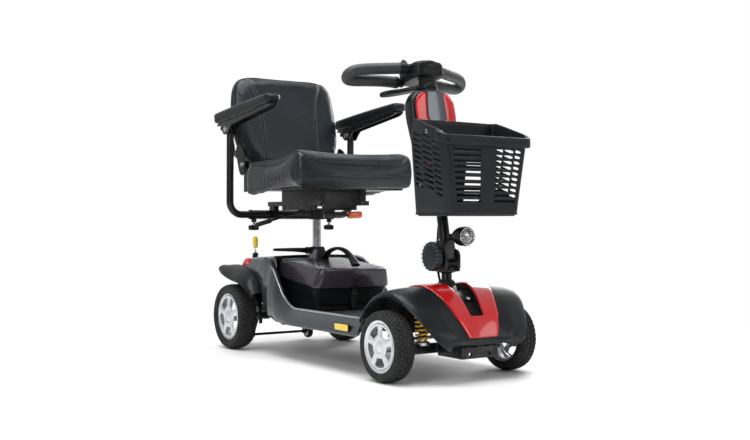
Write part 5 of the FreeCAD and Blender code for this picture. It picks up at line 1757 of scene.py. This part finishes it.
# the speed paddles under the grips
paddle_line = spline([(24, -10, 0), (40, 2, 0), (58, 20, 0), (86, 40, 0), (114, 56, 0), (121, 74, 0),
                      (108, 92, 0),
                      (84, 90, 0), (58, 76, 0), (36, 54, 0), (20, 26, 0), (14, 6, 0), (24, -10, 0)], 61)[:-1]
for paddle_side, hand in ((-1, "right"), (1, "left")):
    outline = [(paddle_side * p.x, p.y) for p in paddle_line]
    paddle_rows = []
    for z, inset in ((496, 7), (496.8, 3), (499, 0.6), (502, 0), (505.5, 0.6), (507.6, 3), (508.4, 7)):
        row = []
        for x, y in outline:
            away = Vector((x - paddle_side * 66, y - 42))
            share = 1 - inset / max(14.0, away.length)
            dip = -0.00055 * (abs(x) - 20) ** 2
            row.append((paddle_side * 66 + away.x * share, 42 + away.y * share, z + dip))
        paddle_rows.append(row)
    make(f"throttle_paddle_{hand}", *on_tiller(grid(paddle_rows, closed=True, cap=True)),
                 BLACK, "throttle",
                 ("throttle_paddles",), sharp=40)
throttle_ring = [(496, 16.6), (496, 27), (499, 28.4), (506, 28.4), (509, 27), (509, 16.6), (496, 16.6)]
make("throttle_ring", *on_tiller(revolve(throttle_ring, (0, 0, 0), "Z", 40)), BLACK, "throttle", sharp=35)


# ---------------------------------------------------------------- tilt knob

def tilt_wheel():
    """Domed hand wheel with a fluted rim, along X with its face to the right-hand side."""
    profile = [(26, 12, 0), (26, 33, 0), (24.5, 36.5, 0.5), (21, 38.8, 1), (7, 38.8, 1), (3.5, 36.8, 0.8),
               (1.6, 34.4, 0.35), (0.8, 32.8, 0), (-0.2, 31.6, 0), (-2.4, 22, 0), (-3.6, 10, 0),
               (-3.8, 0.01, 0)]
    rows = []
    count, steps = 20, 8
    for k in range(count * steps):
        a = 2 * math.pi * k / (count * steps)
        wave = (0.5 + 0.5 * math.cos(2 * math.pi * (k % steps) / steps)) ** 0.6
        rows.append([(-61 + along * 0.66, -418 + max(0.01, 1.1 * r - 1.4 * share * wave) * math.cos(a),
                      344 + max(0.01, 1.1 * r - 1.4 * share * wave) * math.sin(a))
                          for along, r, share in profile])
    return grid(rows, around=True)


make("tilt_wheel", *tilt_wheel(), KNOB, "tilt_knob", ("tilt_knob",), sharp=40)
ribs = []
for k in range(20):
    a = 2 * math.pi * (k + 0.5) / 20
    c, s = math.cos(a), math.sin(a)
    outline = [(32, -1.1), (39.6, -1.5), (39.6, 1.5), (32, 1.1)]
    ribs.append(slab([(-418 + r * c - w * s, 344 + r * s + w * c) for r, w in outline], "X", -61.9, -58))
make("tilt_wheel_ribs", *merged(*ribs), BAND, "tilt_knob", bevel=0.5)
make("tilt_wheel_hub", *revolve([(-53, 15), (-40, 14), (-38, 12), (-30, 12), (-29, 6.2)], (0, -418, 344), "X",
                                32),
     BLACK, "tilt_knob", sharp=40)
fork_bolt = [revolve([(28.2, 11), (33, 10.4), (35, 8), (35, 0.01)], (0, -418, 344), "X", 6)]
make("tilt_pin_nut", *merged(*fork_bolt), STEEL, "steering_stem", sharp=30)


# ---------------------------------------------------------------- headlight

def on_lamp(data):
    """Scale a piece of the lamp about its bracket pin."""
    verts, faces = data
    pin = Vector((0, -444.1, 400.7))
    return [pin + (Vector(v) - pin) * 0.8 for v in verts], faces


lamp = [(-529, 28), (-530.5, 31), (-530, 33.6), (-526, 34.8), (-520, 34.8), (-518, 33.4), (-516, 33.4),
        (-500, 34),
        (-488, 31.5), (-476, 26.5), (-466, 21), (-462, 16), (-461, 9), (-461, 0.01)]
make("headlight_housing", *on_lamp(revolve(lamp, (0, 0, 402), "Y", 56)), BLACK, "headlight",
     ("headlight_shell",), sharp=38)
bowl = [(-528, 28.4), (-522, 27.6), (-512, 22), (-505, 14), (-501, 7), (-500, 0.01)]
make("headlight_reflector", *on_lamp(revolve(bowl, (0, 0, 402), "Y", 48)), CHROME, "headlight", sharp=60)
bezel = [(-529.4, 28.2), (-531.6, 29.6), (-531.8, 31.4), (-530, 32.4), (-528, 31), (-528, 28.2),
         (-529.4, 28.2)]
make("headlight_bezel", *on_lamp(revolve(bezel, (0, 0, 402), "Y", 56)), CHROME, "headlight", sharp=50)
dome = [(-526.4, 28.2), (-528.2, 26), (-531, 20), (-533, 12), (-534, 5), (-534.2, 0.01)]
make("headlight_lens_dome", *on_lamp(revolve(dome, (0, 0, 402), "Y", 48)), GLASS, "headlight",
     ("headlight_lens",), sharp=60)
emitters = [revolve([(0, 4.4), (-3, 4.4), (-5, 3), (-5.6, 0.01)], (x, -506, 402 + z), "Y", 20)
            for x, z in ((0, 8), (7, -4), (-7, -4))]
make("headlight_emitters", *on_lamp(merged(*emitters)), WHITE_MARK, "headlight", sharp=40)
ears = [cuboid((side * 8.65 - 2.3, side * 8.65 + 2.3), (-474, -444), (393, 408.6)) for side in SIDES]
ears += [revolve([(side * 6.4, 7.9), (side * 11.2, 7.9), (side * 13.4, 6.6), (side * 13.4, 0.01)],
                 (0, -444.1, 400.7), "X", 20) for side in SIDES]
make("headlight_bracket", *merged(*ears), BLACK, "headlight", bevel=0.7)


# ---------------------------------------------------------------- basket

FLOOR_Z, RIM_Z, PEAK_Z = 463, 675, 727
FRONT_STOPS = (-1, -0.97, -0.78, -0.6, -0.41, -0.22, -0.07, 0.07, 0.22, 0.41, 0.6, 0.78, 0.97, 1)
FRONT_SLOTS = (1, 2, 3, 4, 8, 9, 10, 11)
SIDE_STOPS = (0, 0.04, 0.18, 0.32, 0.37, 0.53, 0.69, 0.74, 0.85, 0.97, 1)
SIDE_SLOTS = {1: 0, 2: 0, 4: 1, 5: 1, 7: 0, 8: 0}
SLOT_ROWS = 20
FRONT_CORNER, REAR_CORNER = 22, 12


def basket_half(z):
    """Half-width at a height: the tub flares up to the rim, and its high back draws in again."""
    return lerp(124, 152, min(1, (z - FLOOR_Z) / (RIM_Z - FLOOR_Z))) - 5 * max(0, (z - RIM_Z) / 52)


def basket_rear(z):
    return -430 - (z - FLOOR_Z) * 0.068


def basket_top(y):
    """The sides climb from the rim to the high back."""
    return straight(-y, ((444, PEAK_Z), (452, PEAK_Z - 1), (586, 686), (600, 677), (608, RIM_Z),
                         (620, RIM_Z)))


def basket_point(v, place, a):
    """One point of the wall: v up the height; place and a say which stretch of the plan it belongs to."""
    y = {"rear": -440, "side": lerp(-442, -580, a), "corner": -595, "front": -604}[place]
    z = FLOOR_Z + v * (RIM_Z - FLOOR_Z) + (basket_top(y) - RIM_Z) * min(1, v / 0.13)
    half, front, rear = basket_half(z), lerp(-594, -604, v), basket_rear(z)
    if place == "rear":
        x = half - REAR_CORNER + REAR_CORNER * math.cos(a)
        return x, rear - REAR_CORNER + REAR_CORNER * math.sin(a), z
    if place == "side":
        return half + 2.5 * math.sin(math.pi * a) * v, lerp(rear - REAR_CORNER, front + FRONT_CORNER, a), z
    if place == "corner":
        y = front + FRONT_CORNER + FRONT_CORNER * math.sin(a)
        z += (basket_top(y) - basket_top(-595)) * min(1, v / 0.13)
        return half - FRONT_CORNER + FRONT_CORNER * math.cos(a), y, z
    return (half - FRONT_CORNER) * a, front - 5 * (1 - a * a), z


LEFT_PLAN = [("rear", math.radians(90 * (1 - k / 4)), None) for k in range(4)]
LEFT_PLAN += [("side", stop, SIDE_SLOTS.get(k)) for k, stop in enumerate(SIDE_STOPS)]
LEFT_PLAN += [("corner", math.radians(-90 * k / 6), None) for k in range(1, 7)]
BASKET_PLAN = [(1, place, a, kind) for place, a, kind in LEFT_PLAN]
BASKET_PLAN += [(1, "front", -stop, 2 if k in FRONT_SLOTS else None)
    for k, stop in enumerate(FRONT_STOPS)][1:-1]
BASKET_PLAN += [(-1, place, a, None) for place, a, _ in reversed(LEFT_PLAN)]
RIGHT_SIDE = len(BASKET_PLAN) - len(LEFT_PLAN) + 6
for k in range(len(SIDE_STOPS) - 1):
    hand, place, a, _ = BASKET_PLAN[RIGHT_SIDE + k]
    BASKET_PLAN[RIGHT_SIDE + k] = (hand, place, a, SIDE_SLOTS.get(len(SIDE_STOPS) - 2 - k))
BASKET_LEVELS = [0, 0.05, 0.13] + [0.15 + 0.0363 * k for k in range(SLOT_ROWS + 1)] + [0.94, 1.0]


def basket_row(v):
    row = []
    for hand, place, a, _ in BASKET_PLAN:
        x, y, z = basket_point(v, place, a)
        row.append((hand * x, y, z))
    return row


def slot_cell(i, j):
    kind = BASKET_PLAN[j][3]
    row = i - 3
    if kind is None or not 0 <= row < SLOT_ROWS:
        return False
    return row % 2 == (1 if kind == 1 else 0)


make("basket_walls", *facing(grid([basket_row(v) for v in BASKET_LEVELS], skip=slot_cell), (0, -515, 560)),
     BASKET,
     "basket", ("basket",), solid=3.4, sharp=40, bevel=0.6)


def basket_back_wall():
    """Flat back leaning like the plate that carries it."""
    rows = []
    for k in range(27):
        z = lerp(FLOOR_Z, PEAK_Z + 1, k / 26)
        half = basket_half(z) - REAR_CORNER + 1
        rows.append([(u * half, basket_rear(z) - 0.4, z) for u in (-1, -0.9, -0.7, -0.4, -0.1, 0.1, 0.4, 0.7,
                                                                   0.9, 1)])
    return rows


def back_slot(i, j):
    return 4 <= i <= 14 and i % 2 == 0 and j in (1, 2, 6, 7)


make("basket_back", *facing(grid(basket_back_wall(), skip=back_slot), (0, -515, 560)), BASKET, "basket",
     ("basket",),
     solid=3.4, sharp=40, bevel=0.6)
floor_rows = []
for z, grow in ((FLOOR_Z - 4, 0.9), (FLOOR_Z - 4, 0.95), (FLOOR_Z - 0.5, 0.965), (FLOOR_Z - 0.5, 0.998),
                (FLOOR_Z + 1, 1.012),
                (FLOOR_Z + 6, 1.012), (FLOOR_Z + 7, 1.004), (FLOOR_Z + 7, 0.97)):
    floor_rows.append([(x * grow, -511 + (y + 511) * grow, z) for x, y, _ in basket_row(0)])
make("basket_floor", *grid(floor_rows, closed=True, cap=True), BASKET, "basket", ("basket",), sharp=40)


def rim_band():
    """Deep lip round the mouth's front; it dies into the sides behind the corners."""
    top_line = basket_row(1)
    rows = []
    for before, (x, y, z), after in zip(top_line, top_line[1:], top_line[2:]):
        if y > -562:
            continue
        fade = min(1.0, (-562 - y) / 16)
        along = Vector((after[0] - before[0], after[1] - before[1], 0)).normalized()
        away = Vector((-along.y, along.x, 0))
        if away.dot(Vector((x, y + 515, 0))) < 0:
            away = -away
        section = ((-4.0, 0.4), (1.5, 1.4), (8.5 * fade, 0.8), (11 * fade, -1.6), (11.4 * fade, -23),
                   (10 * fade, -26),
                   (5 * fade, -27.4), (-0.5, -27.4), (-4.0, -6))
        rows.append([(x + away.x * out, y + away.y * out, z + up) for out, up in section])
    return rows


make("basket_rim", *grid(rim_band(), closed=True, cap=True), BASKET, "basket", ("basket",), sharp=45)
for edge_side, hand in ((1, "left"), (-1, "right")):
    path = [Vector((edge_side * (abs(x) - 0.6), y, z + 0.2)) for x, y, z in basket_row(1)[:15] if y > -585]
    make(f"basket_edge_{hand}", *tube(path, 2.8, 12), BASKET, "basket", ("basket",), sharp=60)
rear_bead = [(-134, -448.5, PEAK_Z), (-60, -448.5, PEAK_Z + 0.6), (0, -448.5, PEAK_Z + 0.8),
             (60, -448.5, PEAK_Z + 0.6),
             (134, -448.5, PEAK_Z)]
make("basket_edge_back", *tube(spline(rear_bead, 20), 2.8, 12), BASKET, "basket", ("basket",), sharp=60)
eyelets = [revolve([(side * -2.6, 5.2), (side * 2.6, 5.2), (side * 3, 4.4), (side * 2.6, 3), (side * -2.6, 3),
                    (side * -2.6, 5.2)], (side * 150.5, -524, 690), "X", 24) for side in SIDES]
make("basket_eyelets", *merged(*eyelets), CHROME, "basket", sharp=40)
hooks = []
for side in SIDES:
    start, end = basket_rear(610), basket_rear(672)
    hooks.append(slab([(start, 610), (start + 11, 610), (end + 11, 672), (end, 672)], "X",
                      *sorted((side * 26.6, side * 32))))
    hooks.append(slab([(start + 7, 610), (start + 11, 610), (end + 11, 672), (end + 7, 672)], "X",
                      *sorted((side * 17, side * 32))))
make("basket_hooks", *merged(*hooks), BASKET, "basket", ("basket",), bevel=0.8)


# ---------------------------------------------------------------- levers and knobs

make("swivel_lever_rod", *tube(spline([(60, 313, 475), (72, 313, 472), (88, 313, 466.4), (110, 313, 464.4),
                                       (138, 313, 464.6)], 30), 3.8, 14), POWDER, "swivel_lever",
                                       ("swivel_lever",), sharp=60)
paddle = []
for x, half_y, low, high in ((126, 5, 459, 470), (128, 9, 456, 473.5), (134, 11, 453.6, 476),
                             (150, 11.5, 453.2, 477.6),
                             (166, 11.5, 453.8, 478.6), (178, 11, 455, 479), (182.6, 9, 457.4, 478),
                             (184, 5, 460, 475.4)):
    paddle.append([(x, 313 + y, z) for y, z in rounded_outline(half_y, (high - low) / 2,
                                                               min(half_y, (high - low) / 2) * 0.55,
                                                             4, 0, (low + high) / 2)])
make("swivel_lever_paddle", *grid(paddle, closed=True, cap=True), ORANGE, "swivel_lever", ("swivel_lever",),
     sharp=40)
make("slide_lever_rod",
     *tube(spline([(-60, 313, 475), (-76, 313, 472.6), (-108, 313, 465.4), (-150, 313, 454),
                                      (-196, 313, 441.6)], 30), 3.8, 14), POWDER, "slide_lever",
                                      ("slide_lever",), sharp=60)


def ribbed_grip(start, end, radius, ribs):
    start, end = Vector(start), Vector(end)
    steps = ribs * 4
    path, sizes = [], []
    for k in range(steps + 1):
        t = k / steps
        path.append(start.lerp(end, t))
        close = min(t, 1 - t) * (end - start).length / radius
        round_off = math.sqrt(max(0.02, 1 - (1 - min(1, close)) ** 2))
        sizes.append(radius * round_off * (0.9 if k % 4 == 2 else 1))

    def section(t):
        return ring(sizes[int(round(t * steps))], 20)
    return sweep(path, section)


make("slide_lever_grip", *ribbed_grip((-176, 313, 447.2), (-240, 313, 430), 8, 7), CABLE, "slide_lever",
     ("slide_lever",), sharp=50)
for lever_side, owner in ((1, "swivel_lever"), (-1, "slide_lever")):
    make(f"{owner}_hub", *revolve([(-5.6, 2.8), (-5.6, 5.6), (5.6, 5.6), (5.6, 2.8), (-5.6, 2.8)],
                                  (lever_side * 62, 313, 475), "Y", 24), STEEL, owner, (owner,), sharp=40)

make("freewheel_hub", *revolve([(-7.5, 3.2), (-7.5, 7), (7.5, 7), (7.5, 3.2), (-7.5, 3.2)], (-151, 483, 318),
                               "X", 28),
     BLACK, "freewheel_lever", ("freewheel_lever",), sharp=40)
make("freewheel_rod", *tube([(-149, 485, 320), (-149, 485, 338), (-149, 485, 356)], 3.2, 14), CHROME,
     "freewheel_lever", ("freewheel_lever",), sharp=60)
yellow_grip = []
for z, radius in ((350, 3.6), (350.4, 7.4), (353, 8.6), (362, 8.8), (374, 9), (383, 9.2), (387, 8.4),
                  (389.4, 5.6), (390, 1.5)):
    yellow_grip.append([(-149 + a, 485 + b, z) for a, b in ring(radius, 24)])
make("freewheel_grip", *grid(yellow_grip, closed=True, cap=True), YELLOW, "freewheel_lever",
     ("freewheel_lever",), sharp=60)
boot_ring = [(0, 12), (2.4, 12), (4, 9.6), (5.6, 9.4), (7, 7), (8.6, 6.8), (10, 4.4), (10.4, 3.4)]
make("freewheel_boot", *revolve(boot_ring, (-149, 485, 324), "Z", 28), CABLE, "freewheel_lever", sharp=35)

make("frame_release_hub", *revolve([(-10, 3.3), (-10, 8), (10, 8), (10, 3.3), (-10, 3.3)], (-15, 362, 342),
                                   "Y", 28),
     BLACK, "frame_release_lever", ("frame_release_lever",), sharp=40)
release = []
for x, half_y, low, high in ((-8, 7, 336, 348), (-10, 9.4, 334, 350), (-20, 10, 333.4, 351),
                             (-36, 9, 335, 351.4),
                             (-60, 9, 337.4, 351.4), (-100, 9.6, 339.6, 351), (-128, 10, 340.6, 350.8),
                             (-139, 9, 341.2, 350.2), (-142.6, 6, 342.6, 348.8)):
    release.append([(x, 362 + y, z) for y, z in rounded_outline(half_y, (high - low) / 2,
                                                                min(half_y, (high - low) / 2) * 0.5,
                                                              4, 0, (low + high) / 2)])
make("frame_release_handle", *grid(release, closed=True, cap=True), FENDER, "frame_release_lever",
     ("frame_release_lever",), sharp=40)


def star(side):
    """Five-lobed hand knob on its threaded stud."""
    rows = []
    for k in range(60):
        a = 2 * math.pi * k / 60
        lobe = 0.5 + 0.5 * math.cos(5 * a)
        row = []
        for z, size in ((412, 0.5), (412.6, 0.8), (414.5, 0.96), (418, 1.0), (425, 1.0), (428.4, 0.95),
                        (430, 0.8),
                        (430, 0.4)):
            r = (13 + 6.4 * lobe ** 0.8) * size
            row.append((side * 155 + r * math.cos(a), 485 + r * math.sin(a), z))
        rows.append(row)
    verts, faces = grid(rows, around=True)
    return verts, faces


for knob_side, hand in ((-1, "right"), (1, "left")):
    make(f"star_knob_{hand}_head", *star(knob_side), BLACK, f"star_knob_{hand}", (f"star_knob_{hand}",),
         sharp=40)
    stud = [(428, 8), (433, 7.6), (434, 4)] + [(434.5 + 1.5 * n + h, r) for n in range(11)
        for h, r in ((0, 3.5), (0.75, 4.0))]
    make(f"star_knob_{hand}_stud", *revolve(stud, (knob_side * 155, 485, 0), "Z", 20),
         STEEL, f"star_knob_{hand}",
         sharp=30)
caps = [revolve([(side * 172.1, 12.9), (side * 172.1, 16.4), (side * 168, 17.2), (side * 164, 17.2),
                 (side * 163, 16.3)],
                (0, 485, 467), "X", 32) for side in SIDES]
make("receiver_collars", *merged(*caps), BLACK, "seat", sharp=40)


# ---------------------------------------------------------------- pieces carried over from the frame

CARRIED = {
    POWDER: ("main_frame", "tiller_tube", "swivel_base", "seat_pan", "front_axle_beam",
             "armrest_tube_left", "armrest_tube_right", "drive_motor"),
    CAST: ("transaxle", "knuckle_left", "knuckle_right", "controller"),
    STEEL: ("tie_rods",),
    CHROME: ("seat_post",),
    TUB: ("batteries",),
}
for material, names in CARRIED.items():
    for node_name in names:
        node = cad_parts[node_name]
        node.data.materials.clear()
        node.data.materials.append(material)
        soften(node, 0.9 if node_name != "seat_post" else 0.5, 40)


# ---------------------------------------------------------------- steering stem with its round-headed fork

def fork_cheek(side):
    """A plate with a rounded head and a waisted foot."""
    low, high = sorted((side * 20.2, side * 28))
    head = [(-421 + 26.5 * math.cos(a),
             342 + 26 * math.sin(a)) for a in (math.pi * k / 14 for k in range(15))]
    return slab([(-394.5, 312)] + head + [(-447.5, 312), (-444, 300.5), (-398, 300.5)], "X", low, high)


stem_parts = [revolve([(119, 0.01), (119, 15), (306, 15), (306, 0.01)], (0, -418, 0), "Z", 32),
              revolve([(296, 0.01), (296, 20), (299, 27), (312, 27), (313.8, 25), (313.8, 0.01)],
                      (0, -418, 0), "Z", 32),
              revolve([(119, 0.01), (119, 9), (127, 9), (127, 0.01)], (0, -373, 0), "Z", 24),
              revolve([(-58, 0.01), (-58, 6), (28, 6), (28, 0.01)], (0, -418, 344), "X", 20),
              cuboid((-7, 7), (-418, -375), (119, 127)), fork_cheek(-1), fork_cheek(1)]
make("steering_fork", *merged(*stem_parts), POWDER, "steering_stem", ("steering_stem",), sharp=38, bevel=0.8)


# ---------------------------------------------------------------- socket of the seat post

socket = []
for z, half, radius in ((298, 24.6, 7), (300, 25, 7), (312, 24, 7), (326, 21.4, 7), (340, 19.4, 7),
                        (343.4, 19, 7),
                        (345, 18.2, 7)):
    socket.append([(x, y, z) for x, y in rounded_outline(half, half, radius, 5, 0, 313)])
# the socket's light grey is a painted reflection
cone = make("post_socket", *grid(socket, closed=True, cap=True), SOCKET_PAINTED_REFLECTION, "chassis", sharp=45)
carve(cone, revolve([(-30, 0.01), (-30, 17.2), (60, 17.2), (60, 0.01)], (0, 313, 320), "Z", 40))
finish_mesh(cone, 40)


# ---------------------------------------------------------------- stage, lights and camera

def stage_floor():
    """A white floor that turns into plain white light away from the object, so that no horizon shows."""
    mesh = bpy.data.meshes.new("floor")
    mesh.from_pydata([(-14, -14, 0), (14, -14, 0), (14, 14, 0), (-14, 14, 0)], [], [(0, 1, 2, 3)])
    floor = bpy.data.objects.new("floor", mesh)
    bpy.context.scene.collection.objects.link(floor)
    m = Nodes("floor_white")
    m.set(Base_Color=(0.93, 0.93, 0.93), Roughness=0.6, Specular_IOR_Level=0.15)
    away = m.node("ShaderNodeVectorMath", operation="LENGTH")
    m.link(m.place, away.inputs[0])
    glow = m.node("ShaderNodeEmission")
    blend = m.node("ShaderNodeMixShader")
    seen = m.node("ShaderNodeLightPath").outputs["Is Camera Ray"]
    m.link(m.maths("MULTIPLY", m.remap(away.outputs["Value"], 0.9, 1.9, 0.0, 1.0), seen), blend.inputs["Fac"])
    m.link(m.shader.outputs["BSDF"], blend.inputs[1])
    m.link(glow.outputs["Emission"], blend.inputs[2])
    m.link(blend.outputs["Shader"], m.tree.nodes["Material Output"].inputs["Surface"])
    mesh.materials.append(m.material)


def area_light(name, place, target, size, power, colour=(1, 1, 1)):
    data = bpy.data.lights.new(name, "AREA")
    data.shape = "RECTANGLE"
    data.size, data.size_y = size
    data.energy, data.color = power, colour
    lamp = bpy.data.objects.new(name, data)
    bpy.context.scene.collection.objects.link(lamp)
    lamp.location = place
    lamp.rotation_euler = (Vector(target) - Vector(place)).to_track_quat("-Z", "Y").to_euler()


def studio_world(behind, before):
    """White seen directly; as light and reflections, a bright backdrop behind the object and a dim room
    before it."""
    world = bpy.data.worlds.new("studio")
    bpy.context.scene.world = world
    world.use_nodes = True
    tree = world.node_tree
    background = tree.nodes["Background"]
    path = tree.nodes.new("ShaderNodeLightPath")
    place = tree.nodes.new("ShaderNodeTexCoord")
    facing_back = tree.nodes.new("ShaderNodeVectorMath")
    facing_back.operation = "DOT_PRODUCT"
    facing_back.inputs[1].default_value = (0.559, 0.829, 0.1)
    tree.links.new(place.outputs["Generated"], facing_back.inputs[0])
    room = tree.nodes.new("ShaderNodeMapRange")
    for name, value in (("From Min", -0.4), ("From Max", 0.75), ("To Min", before), ("To Max", behind)):
        room.inputs[name].default_value = value
    tree.links.new(facing_back.outputs["Value"], room.inputs["Value"])
    level = tree.nodes.new("ShaderNodeMapRange")
    level.inputs["To Max"].default_value = 1.0
    tree.links.new(path.outputs["Is Camera Ray"], level.inputs["Value"])
    tree.links.new(room.outputs["Result"], level.inputs["To Min"])
    tree.links.new(level.outputs["Result"], background.inputs["Strength"])
    background.inputs["Color"].default_value = (1, 1, 1, 1)


stage_floor()
studio_world(0.85, 0.08)
area_light("top_softbox", (-0.4, -0.3, 3.2), (0, 0, 0.3), (2.6, 2.6), 118)
area_light("key_left", (-3.0, -1.6, 2.0), (0, 0.1, 0.5), (1.6, 2.2), 52)
area_light("front_fill", (1.6, -3.4, 1.7), (0, -0.2, 0.5), (2.0, 2.0), 26)
area_light("rim_right", (2.8, 1.6, 1.8), (0, 0, 0.6), (1.2, 2.4), 50)
bpy.context.scene.view_settings.view_transform = "Standard"

camera_data = bpy.data.cameras.new("camera")
camera_data.lens, camera_data.sensor_width = 49.8, 36.0
camera = bpy.data.objects.new("camera", camera_data)
bpy.context.scene.collection.objects.link(camera)
camera.location = (-1.846, -2.785, 0.448)
camera.rotation_euler = (math.radians(90), 0, math.radians(-34))
bpy.context.scene.camera = camera
